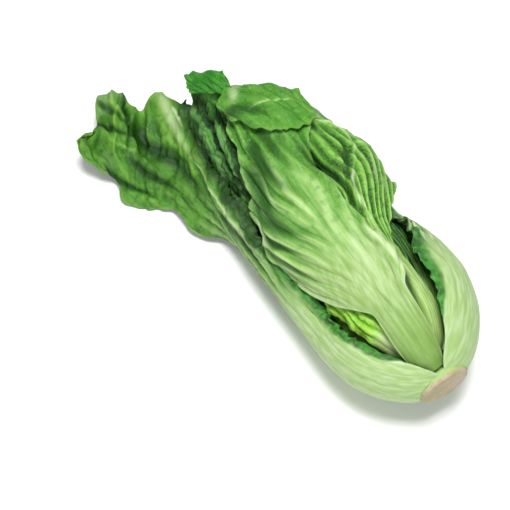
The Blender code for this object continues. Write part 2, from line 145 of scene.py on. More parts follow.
def add(material, kind, inputs=None, out=0, **settings):
    """The output of a new node. `inputs` gives each socket a value, or the output of the node it joins."""
    node = material.node_tree.nodes.new("ShaderNode" + kind)
    for name, value in settings.items():
        setattr(node, name, value)
    for socket, value in (inputs or {}).items():
        if isinstance(value, bpy.types.NodeSocket):
            material.node_tree.links.new(value, node.inputs[socket])
        else:
            node.inputs[socket].default_value = value
    return node.outputs[out]


def mixed(material, share, first, second):
    """The first colour where share is 0, the second where it is 1."""
    colours = [c if isinstance(c, bpy.types.NodeSocket) else (*c, 1) for c in (first, second)]
    inputs = {0: share, 6: colours[0], 7: colours[1]}
    return add(material, "Mix", inputs, out=2, data_type="RGBA")


def between(material, value, low, high, start=0.0, end=1.0):
    """A value that runs from low to high, made to run from start to end along a smooth step."""
    inputs = {0: value, 1: low, 2: high, 3: start, 4: end}
    return add(material, "MapRange", inputs, interpolation_type="SMOOTHSTEP")


def figure(material, operation, first, second):
    """Two numbers added, multiplied or compared."""
    return add(material, "Math", {0: first, 1: second}, operation=operation)


def laid_over(material, colour, over, pattern, low, high, start=0.0, end=1.0, within=None):
    """A colour with another one over it, from a share of start where a pattern is low to one of end where it
    is high, times `within` if that is given.
    """
    share = between(material, pattern, low, high, start, end)
    if within is not None:
        share = figure(material, "MULTIPLY", share, within)
    return mixed(material, share, colour, over)


def speckle(material, where, size, detail=3.0, across=1.0):
    """Random clouds of about `size` metres, `across` times finer sideways."""
    scaled = add(material, "Mapping", {"Vector": where, "Scale": (across / size, 1 / size, 1 / size)})
    return add(material, "TexNoise", {"Vector": scaled, "Scale": 1.0, "Detail": detail, "Roughness": 0.55})


def flesh(name, roughness, glow, sheen=0.32):
    """A new plant material, with light that sinks in and comes out a little way off."""
    material = bpy.data.materials.new(name)
    material.use_nodes = True
    shader = material.node_tree.nodes["Principled BSDF"]
    shader.inputs["Roughness"].default_value = roughness
    shader.inputs["IOR"].default_value = 1.42
    shader.inputs["Specular IOR Level"].default_value = sheen
    shader.inputs["Subsurface Weight"].default_value = glow
    shader.inputs["Subsurface Radius"].default_value = (0.9, 1.0, 0.5)
    shader.inputs["Subsurface Scale"].default_value = 0.0015
    return material


def finish_with(material, colour, height, depth, roughness=None):
    """Joins a colour, a relief that is `depth` metres deep and a roughness to the material's shader."""
    shader = material.node_tree.nodes["Principled BSDF"]
    join = material.node_tree.links.new
    join(colour, shader.inputs["Base Color"])
    bump = add(material, "Bump", {"Height": height, "Strength": 1.0, "Distance": depth})
    join(bump, shader.inputs["Normal"])
    if roughness is not None:
        join(roughness, shader.inputs["Roughness"])


def cut_stem_material():
    """Dried tan end with pinkish patches and dark grain, over pale green flesh further in."""
    material = flesh("cut_stem", 0.6, 0.1)
    place = add(material, "TexCoord", out="Object")
    end = add(material, "Attribute", out="Fac", attribute_name="end")
    patches = speckle(material, place, 0.012)
    grain = speckle(material, place, 0.0011, detail=2.0)
    dried = laid_over(material, (0.36, 0.32, 0.18), (0.47, 0.38, 0.27), patches, 0.35, 0.65)
    dried = laid_over(material, dried, (0.24, 0.18, 0.08), grain, 0.55, 0.8)
    colour = laid_over(material, (0.33, 0.46, 0.16), dried, end, 0.35, 0.85)
    finish_with(material, colour, figure(material, "ADD", grain, patches), 0.0006)
    return material


STEM_OUTLINE = [
    (1.9, 0), (1.5, 8), (0.9, 15.5), (0.9, 17.8), (1.4, 19.2), (2.6, 20), (6.5, 20.6), (8.5, 20.1),
    (10, 15.8), (13.2, 13.6), (18.4, 11.3), (20.8, 9.7), (23.5, 8), (26, 5.5), (27.5, 0),
]


def butt(turn, y):
    """Radius of the stem as a share of its outline: not quite round, and fluted where the stalks leave it."""
    flutes = 0.010 * np.cos(9 * turn + 1) + 0.010 * noise(turn * 6, y / 3, 4)
    return 1 - 0.025 * (1 + np.sin(3 * turn + 0.5)) * np.clip(1 - y / 20, 0, 1) + flutes


lathe(
    "cut_stem", STEM_OUTLINE, butt, sides=144, rings=90,
    material=cut_stem_material(), node="stem", slot="cut_stem",
)

# Heart. The small leaves folded tightly round the growing point, rolled over one another in a spiral. They
# grew without light, so they are yellow green, and they fill the head behind the gaps between outer leaves.
HEART_OUTLINE = [
    (28.4, 0), (29, 5), (33, 12), (40, 17.5), (50, 22), (62, 25.5), (78, 28.5), (96, 31), (115, 33),
    (135, 34.5), (157, 35.5), (180, 36), (200, 36), (218, 35), (235, 33), (250, 29.5), (262, 25),
    (273, 18.5), (281, 11), (286, 0),
]


def bud(turn, y):
    """Radius of the heart as a share of its outline: rolled leaves with ribs and a wavy free edge each."""
    edge = (3 * turn / math.tau + y / 90 + 0.25 * np.sin(turn) + 0.09 * np.sin(y / 4 + 3 * np.sin(turn))) % 1
    ribs = 0.05 * np.abs(np.cos(12 * turn + y / 25 + noise(turn * 3, y / 30, 9)))
    folds = 0.06 * np.abs(noise(turn * 18 / math.tau, y / 12, 10)) * np.clip(y / 90 - 1, 0, 1)
    return 0.99 - 0.16 * edge**1.6 + (ribs - 0.05) * np.clip(y / 120, 0, 1) - folds


def heart_material():
    """Yellow green in soft clouds with fine pale lengthwise streaks, and painted shade where it is sunk."""
    material = flesh("heart", 0.45, 0.2)
    place = add(material, "TexCoord", out="Object")
    flat = add(material, "UVMap", uv_map="flat")
    sunk_shade = add(material, "Attribute", out="Fac", attribute_name="sunk_shade")
    clouds = speckle(material, place, 0.02)
    streaks = speckle(material, flat, 0.12, across=14.0)
    colour = laid_over(material, (0.16, 0.38, 0.05), (0.34, 0.55, 0.10), clouds, 0.3, 0.7)
    colour = laid_over(material, colour, (0.48, 0.66, 0.22), streaks, 0.45, 0.75)
    # Painted shade: near-black green in the hollows between the rolled leaves.
    colour = laid_over(material, colour, (0.05, 0.16, 0.01), sunk_shade, 0.25, 0.95, 0, 0.85)
    finish_with(material, colour, streaks, 0.0006)
    return material


lathe(
    "heart_leaves", HEART_OUTLINE, bud, sides=160, rings=130,
    material=heart_material(), node="heart", slot="heart",
)

# Outer right leaf. The broad, fleshy stalk that clasps the right of the head, pale and finely striped, with a
# narrow dark wing of ruffled blade along its inner edge. It thins into a blade that runs under the next leaf.
NONE = ((0, 0), (1, 0))  # nothing, all along a leaf
EDGE = 1.0  # thickness of every leaf at its margin
SHARP = -3.0  # a crease that is deeper than this is cut sharply
DRAWN_AT = 55.0  # distance from the axis at which a line's width is measured
DEGREE = 0.96  # length of one degree round the axis at that distance


@dataclass
class Leaf:
    """One leaf. A list of pairs gives a value at places along the midrib, 0 at the foot and 1 at the tip."""

    midrib: list  # (y, distance from the head's axis), from the foot to the tip
    azimuth: list  # degrees
    left: list  # half width left of the midrib, along the sheet
    right: list  # half width right of the midrib
    curl_left: list  # degrees that the sheet turns round the head for each centimetre of width
    thick: list  # thickness at the midrib
    curl_right: tuple = ()  # the same as to the left where it is empty
    facing: tuple = NONE  # degrees that it faces to the left
    slant: tuple = NONE  # how far y grows for each mm to the left
    round_tip: float = 0.12  # how much sooner the margins end than the midrib
    tip: tuple = ((-1, 1), (1, 1))  # (u, share of its length that the tip reaches), from right to left
    tip_ragged: float = 0.0  # how uneven the tip's edge is, as a share of the leaf's length
    crowd: float = 0.0  # how much closer together the rows of points lie at the tip than at the foot
    swells: tuple = ()  # bulges: (height, u, place, reach across, reach along)
    stalk: float = 22.0  # half width of the stalk
    ribs: float = 3.0  # ribs across half of the stalk
    rib_height: tuple = ((0, 0.6), (0.3, 1.0), (0.5, 2.2), (1, 2.2))
    fan_from: float = 90.0  # millimetres from the foot where the ribs start to spread from the stalk
    fan: float = 0.8  # how fast they spread to both sides
    sway: float = 2.0  # how far the ribs swing from side to side on the blade
    crest: float = 1.0  # how narrow they are next to their valleys
    side_ribs: tuple = NONE  # height of the ribs that leave the midrib
    side_gaps: tuple = ((0, 12), (21, 12), (22, 9), (100, 9))  # mm between them, by how far off they end
    leave: float = 190.0  # where the first of them leaves the midrib, in mm from the foot
    level: float = 236.0  # where it runs along the midrib again
    sideways: tuple = NONE  # share of the colour that follows them
    ruffles: float = 5.0  # waves along each margin
    ruffle_left: float = 4.0  # their height
    ruffle_right: float = 4.0
    notch: float = 0.06  # how deep the margin is cut between the waves, as a share of the half width
    blade_from: tuple = ((0, 0), (0.22, 0.05), (0.5, 0.8), (1, 1))  # 0 on the stalk, 1 on the blade
    middle: tuple = ((0, 0.4), (0.5, 0.5), (0.62, 0.7), (0.75, 1), (1, 1))  # greenness along the midrib
    wing_left: tuple = NONE  # width of a dark frilled wing
    wing_right: tuple = NONE
    frill: float = 1.5  # height of its frills
    pucker: float = 0.5  # height of the puckers between the veins
    pucker_size: float = 7.0
    crumple: tuple = ((0, 0), (0.5, 1.0), (1, 1.0))  # height of the sharp-edged folds
    crumple_size: float = 24.0
    stiff: float = 0.1  # millimetres on each side of the midrib over which they fade out
    strokes: tuple = ()  # ridges and creases: (height, width, [(azimuth, y)...], places along the leaf)
    # The pale streaks stand for pale veins and strips, and on some leaves for painted highlights.
    pale_and_highlight: tuple = ()  # whitish streaks: (strength, width, [(azimuth, y)...], places along the leaf)
    on_sheet: bool = False  # whether those lines are (mm left of the midrib, mm from the foot) instead
    seed: int = 1  # of its random noise


@dataclass
class Flat:
    """A leaf laid out flat, as arrays over its grid of points, from right to left and from foot to tip."""

    u: np.ndarray  # -1 at the right margin, 0 at the midrib and 1 at the left margin
    v: np.ndarray  # 0 at the foot and 1 at the end of each row
    place: np.ndarray  # along the midrib, 0 at the foot and 1 at the tip
    blade: np.ndarray  # 0 on the stalk and 1 on the blade
    y: np.ndarray  # along the head's axis
    radius: np.ndarray  # distance of the midrib from that axis
    half_width: np.ndarray
    width: np.ndarray  # millimetres left of the midrib
    run: np.ndarray  # millimetres from the foot
    wing: np.ndarray  # width of the wing on this side


def through(points, at):
    """The values at `at` of a smooth curve through (place, value) points that never overshoots them.

    It is a cubic between two points. Its slope at a point is the harmonic mean of the rises on both sides of
    it, or 0 where one side rises and the other falls.
    """
    x, y = np.array(points, float).T
    step = np.diff(x)
    rise = np.diff(y) / step
    slope = np.concatenate([rise[:1], np.zeros(len(rise) - 1), rise[-1:]])
    product = rise[:-1] * rise[1:]
    same = product > 0
    slope[1:-1][same] = 2 * product[same] / (rise[:-1] + rise[1:])[same]
    i = np.clip(np.searchsorted(x, at) - 1, 0, len(step) - 1)
    t = np.clip((at - x[i]) / step[i], 0, 1)
    ahead = t * t * (3 - 2 * t)
    bend = t * (1 - t)
    start, end = slope[i] * step[i], slope[i + 1] * step[i]
    return y[i] * (1 - ahead) + y[i + 1] * ahead + bend * ((1 - t) * start - t * end)


def on_side(u, place, left, right):
    """The values at `place` of the left curve where u is above 0, and of the right one elsewhere."""
    return np.where(u > 0, through(left, place), through(right, place))


def midrib_at(points, place):
    """(y, distance from the axis, whole length) of a smooth line through the points, at places 0 to 1."""
    points = np.array(points, float)
    chord = np.concatenate([[0], np.cumsum(np.hypot(*np.diff(points, axis=0).T))])
    fine = np.linspace(0, chord[-1], 2001)
    y = through(np.column_stack([chord, points[:, 0]]), fine)
    r = through(np.column_stack([chord, points[:, 1]]), fine)
    run = np.concatenate([[0], np.cumsum(np.hypot(np.diff(y), np.diff(r)))])
    at = place * run[-1]
    return np.interp(at, run, y), np.interp(at, run, r), run[-1]


def waves(leaf, u, place):
    """The turn of the waves along both margins, in radians."""
    return math.tau * (leaf.ruffles * place + 0.3 * np.sign(u))


def laid_out(leaf, across, along):
    """The leaf's flat layout.

    A point lies a share u of the half width off the midrib. The margins end sooner than the midrib does, by
    round_tip (u v)^2. The waves notch them, and noise of three sizes makes them ragged.
    """
    u, v = np.meshgrid(np.linspace(-1, 1, across + 1), np.linspace(0, 1, along + 1), indexing="ij")
    v = v + leaf.crowd * v * (1 - v)
    sooner = leaf.round_tip * (u * v) ** 2 + (1 - through(leaf.tip, u)) * v**4
    place = v * (1 - sooner + leaf.tip_ragged * noise(u * 3.2 + 8, v * 2, leaf.seed + 4) * v**5)
    blade = through(leaf.blade_from, place)
    y, radius, length = midrib_at(leaf.midrib, place)
    half_width = on_side(u, place, leaf.left, leaf.right)
    wing = on_side(u, place, leaf.wing_left, leaf.wing_right)
    width = u * half_width
    width *= 1 - leaf.notch * blade * np.abs(u) * (1 + np.cos(2 * waves(leaf, u, place)))
    ragged = noise(place * length / 11 + 3, u * 2 + 9, leaf.seed + 5)
    ragged += 0.6 * noise(place * length / 5, u * 2 + 5, leaf.seed + 6)
    ragged += 0.5 * noise(place * length / 2.4, u * 2 + 1, leaf.seed + 7) * np.clip(wing / 6, 0, 1)
    margin = np.abs(u) ** 6 * np.clip(place * 8, 0, 1)
    width += np.sign(u) * margin * ragged * (0.8 * blade + np.clip(wing / 6, 0, 1.6))
    lean = through(leaf.slant, place) * width
    return Flat(u, v, place, blade, y + lean, radius, half_width, width, place * length + lean, wing)


def curled(leaf, flat):
    """The bare sheet as points in mm: an arc on each side of the midrib, which turns in towards the head.

    With a turn of t, a point `width` off is width sin(t) / t aside and width (1 - cos t) / t deeper.
    """
    curl = on_side(flat.u, flat.place, leaf.curl_left, leaf.curl_right or leaf.curl_left)
    turn = np.radians(curl) * flat.width / 10
    aside = flat.width * np.sinc(turn / math.pi)
    depth = flat.width * turn / 2 * np.sinc(turn / math.tau) ** 2
    azimuth = np.radians(through(leaf.azimuth, flat.place))
    facing = azimuth + np.radians(through(leaf.facing, flat.place))
    sine, cosine = np.sin(facing), np.cos(facing)
    beside, above = sine * depth - cosine * aside, -cosine * depth - sine * aside
    return around(azimuth, flat.y, flat.radius) + np.stack([beside, np.zeros(beside.shape), above], axis=-1)


def lifted(leaf, flat):
    """How far the sheet is lifted, in mm, and where its wings are: 1 at their margin, 0 where they start.

    A margin swings by |u|^2.5 sin(waves) and a wing by its frills. A swell is a hill that is exp(-r^2) of its
    height at r times its reach from its middle.
    """
    u, place, run, width = flat.u, flat.place, flat.run, flat.width
    lift = np.where(u > 0, leaf.ruffle_left, leaf.ruffle_right) * flat.blade
    lift = lift * (np.abs(u) ** 2.5 * np.sin(waves(leaf, u, place)) + 0.4 * place**8 * np.sin(7 * u))
    winged = np.clip(1 - (1 - np.abs(u)) * flat.half_width / np.maximum(flat.wing, 0.1), 0, 1)
    winged *= np.clip(flat.wing / 3, 0, 1)
    frilled = 1.3 * noise(run / 9, width / 9, leaf.seed + 2)
    frilled += 0.7 * noise(run / 4.5, width / 5, leaf.seed + 3)
    frilled += 0.7 * np.sin(run / 2.1 + 6 * noise(run / 17, width / 20, leaf.seed + 3))
    lift += leaf.frill * winged**1.5 * frilled * (1 - place**10)
    for height, across_at, along_at, reach_across, reach_along in leaf.swells:
        off = ((u - across_at) / reach_across) ** 2 + ((place - along_at) / reach_along) ** 2
        lift += height * np.exp(-off)
    return lift, winged


def outward(points):
    """Unit normals of a grid of points, facing away from the head's axis."""
    across, along = np.gradient(points, axis=0), np.gradient(points, axis=1)
    normal = np.cross(along, across)
    return normal / np.linalg.norm(normal, axis=2, keepdims=True)


def ribbed(leaf, flat):
    """Height of the ribs, 0 in the valleys and 1 on top, and the height in mm that this gives.

    A rib keeps its share of the stalk's width, spreads with it like a ray, and swings from side to side.
    Across it, the height goes with |cos(pi ray)|^crest. Each rib's own height comes and goes along it.
    """
    run, width = flat.run, flat.width
    start = np.logaddexp(0, (run - leaf.fan_from) / 8) * 8
    swing = leaf.sway * flat.blade * (1 + 0.9 * flat.u**2) * np.sin(run / 11 + width / 16)
    ray = leaf.ribs * (width + swing) / (leaf.stalk + leaf.fan * start)
    ray += 0.3 * noise(ray * 0.9, run / 38, leaf.seed) * np.clip(run / 60, 0, 1)
    top = np.sqrt(np.cos(math.pi * ray) ** 2 + 0.01) ** leaf.crest
    number = np.round(ray)
    own = 0.85 + 0.5 * noise(number * 0.73 + 0.4, run / 45 + number * 0.31, leaf.seed + 1)
    return top, through(leaf.rib_height, flat.place) * own * (top - 0.6 / leaf.crest)


def side_ribbed(leaf, flat):
    """Height of the side ribs, 0 in the valleys and 1 on top, and how far off each point's rib ends, in mm.

    A rib that ends W mm off the midrib leaves it at run = leave e^(-W / 50) and is level with it again from
    run = level - 1.28 W on. Over that way, t from 0 to 1, it is W (1 - (1 - t)^1.25) mm off. Across a rib, a
    cosine makes its height, with three finer ones on it. A point's rib is found by going outwards in steps.
    """
    run, width = flat.run, flat.width
    off = np.abs(width) + 2.5 * noise(run / 30, width / 24, leaf.seed + 8)
    ends = np.zeros(width.shape)
    before = np.zeros(width.shape)
    step = 1.5
    for end in np.arange(step, 105, step):
        start, level = leaf.leave * math.exp(-end / 50), leaf.level - 1.28 * end
        t = np.clip((run - start) / max(level - start, 20), 0, 1)
        here = end * (1 - (1 - t) ** 1.25)
        ends += step * np.clip((off - before) / np.maximum(here - before, 0.02), 0, 1)
        before = here
    table = np.arange(0.0, 120.0)
    turn = np.interp(ends, table, np.cumsum(1 / through(leaf.side_gaps, table)))
    turn += 0.16 * noise(ends / 11, run / 40 + 7, leaf.seed + 9)
    fine = 0.16 * np.cos(math.tau * 3 * turn + 2.5 * noise(ends / 8, run / 50, leaf.seed + 11))
    return 0.5 + 0.42 * np.cos(math.tau * turn) + fine * (0.4 + np.sin(math.pi * turn) ** 2), ends


def folded(leaf, flat):
    """Height of all ribs from 0 to 1, relief of ribs and crumples in mm, share of side ribs, and their ends.

    A crumple is a ridge with a sharp back: 1 - 2.2 |noise|, drawn out along the leaf and slanting across it.
    """
    run, width = flat.run, flat.width
    top, relief = ribbed(leaf, flat)
    side, ends = side_ribbed(leaf, flat)
    side_height = through(leaf.side_ribs, flat.place) * np.clip((np.abs(width) - 5) / 22, 0, 1)
    side_height *= 0.75 + 0.7 * noise(run / 45, ends / 7 + 3, leaf.seed + 10)
    relief = relief + side_height * (side - 0.6)
    sideways = np.clip(through(leaf.sideways, flat.place) * (np.abs(width) - 6) / 14, 0, 1)
    top = top * (1 - sideways) + side * sideways
    strength = through(leaf.rib_height, flat.place) * (1 - sideways) + side_height * sideways
    top = 0.62 + (top - 0.62) * np.clip(strength / 2, 0.1, 1)
    slanting = (width + 0.4 * run) / leaf.crumple_size
    folds = 1 - 2.2 * np.abs(noise(slanting, run / leaf.crumple_size / 1.5, leaf.seed + 12))
    loose = flat.blade * np.clip(np.abs(width) / leaf.stiff, 0.25, 1)
    return top, relief + through(leaf.crumple, flat.place) * loose * folds, sideways, ends


def stroke(here, y, line, width, sharp):
    """1 along a line of points in mm and 0 from `width` mm off it on, narrower and lower near its two ends.

    Across the line it is (1 - off / width)^1.7 if sharp, (1 - (off / width)^2)^1.5 if round. It rises over
    the first sixth of the line and falls over its last five ninths.
    """
    points = np.array(line, float)
    run = np.linspace(0, len(points) - 1, 12 * (len(points) - 1) + 1)
    places = np.arange(len(points))
    x = through(np.column_stack([places, points[:, 0]]), run)
    z = through(np.column_stack([places, points[:, 1]]), run)
    taper = np.clip(np.minimum(6 * run / run[-1], 1.8 * (1 - run / run[-1])), 0.02, 1)
    best = np.zeros(here.shape)
    for k in range(len(run) - 1):
        ax, ay, bx, by = x[k], z[k], x[k + 1], z[k + 1]
        long = (bx - ax) ** 2 + (by - ay) ** 2
        t = np.clip(((here - ax) * (bx - ax) + (y - ay) * (by - ay)) / long, 0, 1)
        off = np.hypot(here - ax - t * (bx - ax), y - ay - t * (by - ay))
        full = taper[k] + t * (taper[k + 1] - taper[k])
        share = off / (width * full**0.5)
        if sharp:
            near = np.clip(1 - share, 0, 1) ** 1.7
        else:
            near = np.clip(1 - share**2, 0, 1) ** 1.5
        best = np.maximum(best, near * full)
    return best


def drawn(leaf, lines, flat, sheet):
    """(height or strength, stroke) for each line on a leaf. A stroke is 0 outside the line's places."""
    if leaf.on_sheet:
        here, there, unit = flat.width, flat.run, (1, 1)
    else:
        here = DRAWN_AT * np.arctan2(-sheet[..., 0], sheet[..., 2] - AXIS_HEIGHT)
        there, unit = sheet[..., 1], (DEGREE, 1)
    for height, reach, line, (first, last) in lines:
        drawn_line = stroke(here, there, np.array(line) * unit, reach, sharp=height < SHARP)
        yield height, drawn_line * ((flat.place >= first) & (flat.place <= last))


def domes(x, y, seed):
    """Puckers: 0 along the borders of scattered cells, up to 1 in their middles.

    A point's height is its distance from the second nearest middle less that from the nearest, to the 0.6.
    """
    shift = np.random.default_rng(seed).uniform(0.15, 0.85, (2, CELLS, CELLS))
    column, row = np.floor(x).astype(int), np.floor(y).astype(int)
    nearest, second = np.full(x.shape, 9.0), np.full(x.shape, 9.0)
    for i in (-1, 0, 1):
        for j in (-1, 0, 1):
            c, r = (column + i) % CELLS, (row + j) % CELLS
            gap = np.hypot(column + i + shift[0][c, r] - x, row + j + shift[1][c, r] - y)
            second = np.minimum(second, np.maximum(nearest, gap))
            nearest = np.minimum(nearest, gap)
    return np.clip(second - nearest, 0, 1) ** 0.6


def pressed(points, half):
    """The middle of a leaf that is `2 half` thick, settled on the surface, so that none of it lies under.

    What is z mm high, and below 16 mm, is raised by 4 ((16 - z) / 21)^2 mm, and at least to `half`.
    """
    under = np.clip((16 - points[..., 2]) / 21, 0, None)
    moved = points.copy()
    moved[..., 2] = np.maximum(moved[..., 2] + 4 * under**2, half)
    return moved


def leaf_sheets(leaf, across, along):
    """A leaf's outer and inner faces as grids of points in mm, with the masks and the maps for its material.

    The bare sheet is lifted by its waves, frills and swells, and then moved along its normal by its relief,
    which is ribs, crumples, drawn lines and puckers. The blade has the relief on both faces, and the stalk
    on its outer face only, because it is solid. The thickness is EDGE + (thick - EDGE) (1 - u^2)^1.5.
    """
    flat = laid_out(leaf, across, along)
    lift, winged = lifted(leaf, flat)
    sheet = curled(leaf, flat)
    sheet += outward(sheet) * lift[..., None]
    normal = outward(sheet)
    top, relief, sideways, ends = folded(leaf, flat)
    # Each crease also gets a mask that darkens its colour: painted shade in the groove, over the real dent.
    vein, crease, pale_and_highlight = np.zeros((3, *top.shape))
    for height, line in drawn(leaf, leaf.strokes, flat, sheet):
        relief = relief + height * line
        if height > 0:
            vein = np.maximum(vein, line)
        elif height < SHARP:
            crease = np.maximum(crease, line)
        else:
            crease = np.maximum(crease, 0.09 * height**2 * line)
    for strength, line in drawn(leaf, leaf.pale_and_highlight, flat, sheet):
        pale_and_highlight = np.maximum(pale_and_highlight, strength * line)
    top = top * (1 - crease) * (1 - vein) + vein
    middle = through(leaf.middle, flat.place)
    green = np.clip(flat.blade * (middle + (1 - middle) * np.abs(flat.u) ** 1.3) + winged, 0, 1)
    size = leaf.pucker_size
    puckers = domes(flat.width / size + 20, flat.run / (1.4 * size) + 20, leaf.seed)
    relief = relief + leaf.pucker * green * (1 - 0.7 * top) * (puckers - 0.5)

    thick = EDGE + (through(leaf.thick, flat.place) - EDGE) * (1 - flat.u**2) ** 1.5
    half = thick * (1 - 0.4 * winged) / 2
    sheet = pressed(sheet + normal * (relief * flat.blade)[..., None], half)
    outer = sheet + normal * (half + relief * (1 - flat.blade))[..., None]
    outer[..., 2] = np.maximum(outer[..., 2], 0)
    inner = sheet - normal * half[..., None]
    inner[..., 2] = np.maximum(inner[..., 2], 0.3)
    rim = np.maximum(np.abs(flat.u) ** 12, np.clip(flat.v * 50 - 49, 0, 1))
    masks = {
        "rib": top, "blade": green, "wing": winged, "crease": crease, "rim": rim, "place": flat.place,
        "sideways": sideways, "pale_and_highlight": pale_and_highlight,
    }
    maps = {"flat": np.stack([flat.width, flat.run], axis=2), "flow": np.stack([ends, flat.run], axis=2)}
    return outer, inner, masks, maps


def grow_leaf(name, leaf, across, along, **looks):
    """The leaf as one closed piece: its two faces, and a narrow wall round the margin between them."""
    outer, inner, masks, maps = leaf_sheets(leaf, across, along)
    count = outer.shape[0] * outer.shape[1]
    index = np.arange(count).reshape(outer.shape[:2])
    top = np.stack([index[:-1, :-1], index[:-1, 1:], index[1:, 1:], index[1:, :-1]], axis=-1).reshape(-1, 4)
    rim = np.concatenate([index[:, 0], index[-1, 1:], index[-2::-1, -1], index[0, -2:0:-1]])
    after = np.roll(rim, -1)
    wall = np.stack([rim, after, after + count, rim + count], axis=-1)
    faces = np.concatenate([top, top[:, ::-1] + count, wall])
    points = np.concatenate([outer.reshape(-1, 3), inner.reshape(-1, 3)])
    masks = {mask: np.tile(values.ravel(), 2) for mask, values in masks.items()}
    maps = {place: np.tile(flat.reshape(-1, 2), (2, 1)) for place, flat in maps.items()}
    put_in(name, points, faces, masks, maps, **looks)


def leaf_patterns(material):
    """What a leaf's colours follow: the masks on it, clouds, mottles and drifts, streaks along its ribs or
    its side ribs, and a net of small veins.
    """
    position = add(material, "TexCoord", out="Object")
    flat = add(material, "UVMap", uv_map="flat")
    flow = add(material, "UVMap", uv_map="flow")
    masks = ("rib", "blade", "wing", "crease", "rim", "place", "sideways", "pale_and_highlight")
    on = {mask: add(material, "Attribute", out="Fac", attribute_name=mask) for mask in masks}
    on["clouds"] = speckle(material, position, 0.020)
    on["mottles"] = speckle(material, position, 0.006, detail=4.0)
    on["drifts"] = speckle(material, flat, 0.13, detail=1.0, across=4.0)
    for name, size, detail, across in (("streaks", 0.16, 4.0, 40.0), ("stripes", 0.40, 1.0, 22.0)):
        along_midrib = speckle(material, flat, size, detail=detail, across=across)
        along_ribs = speckle(material, flow, size, detail=detail, across=across)
        either = {0: on["sideways"], 2: along_midrib, 3: along_ribs}
        on[name] = add(material, "Mix", either, data_type="FLOAT")
    large = add(material, "TexVoronoi", {"Vector": flat, "Scale": 30.0}, feature="DISTANCE_TO_EDGE")
    small = add(material, "TexVoronoi", {"Vector": flat, "Scale": 85.0}, feature="DISTANCE_TO_EDGE")
    veins = between(material, large, 0.0, 0.10, 1.0, 0.0)
    on["veins"] = figure(material, "MAXIMUM", veins, between(material, small, 0.0, 0.14, 0.5, 0.0))
    return on


def stalk_colour(material, on, stalk, foot_shade):
    """The first colour of the stalk, the second in drifts and stripes, the third in fine streaks. The last
    argument is how strongly painted shade darkens it to olive green at its foot.
    """
    colour = laid_over(material, stalk[0], stalk[1], on["drifts"], 0.36, 0.64)
    colour = laid_over(material, colour, stalk[1], on["stripes"], 0.42, 0.66, 0, 0.5)
    colour = laid_over(material, colour, stalk[2], on["streaks"], 0.5, 0.75, 0, 0.7, on["clouds"])
    # Painted shade: olive green towards the stalk's foot.
    return laid_over(material, colour, (0.17, 0.32, 0.06), on["place"], 0.05, 0.24, foot_shade, 0)


def blade_colour(material, on, dark, light, rib):
    """Dark and light green in clouds, darker in stripes, and with fine streaks in the ribs' colour."""
    colour = laid_over(material, dark, light, on["clouds"], 0.38, 0.62)
    colour = laid_over(material, colour, dark, on["stripes"], 0.42, 0.62, 0, 0.5)
    return laid_over(material, colour, rib, on["streaks"], 0.5, 0.74, 0, 0.45)


def wing_colour(material, on, wing):
    """The wing's dark green. On the stalk it has patches that are 3.2 times as light and streaks that are 5
    times as light, and further on painted shade makes it darker and nearly plain.
    """
    near_foot = between(material, on["place"], 0.36, 0.50, 1.0, 0.2)
    patch, streak = [3.2 * c for c in wing], [5 * c for c in wing]
    # Painted shade: further from the foot the wing takes 0.3 times its colour.
    colour = mixed(material, near_foot, [0.3 * c for c in wing], wing)
    colour = laid_over(material, colour, patch, on["mottles"], 0.40, 0.64, 0, 1, near_foot)
    return laid_over(material, colour, streak, on["streaks"], 0.52, 0.72, 0, 0.6, near_foot)


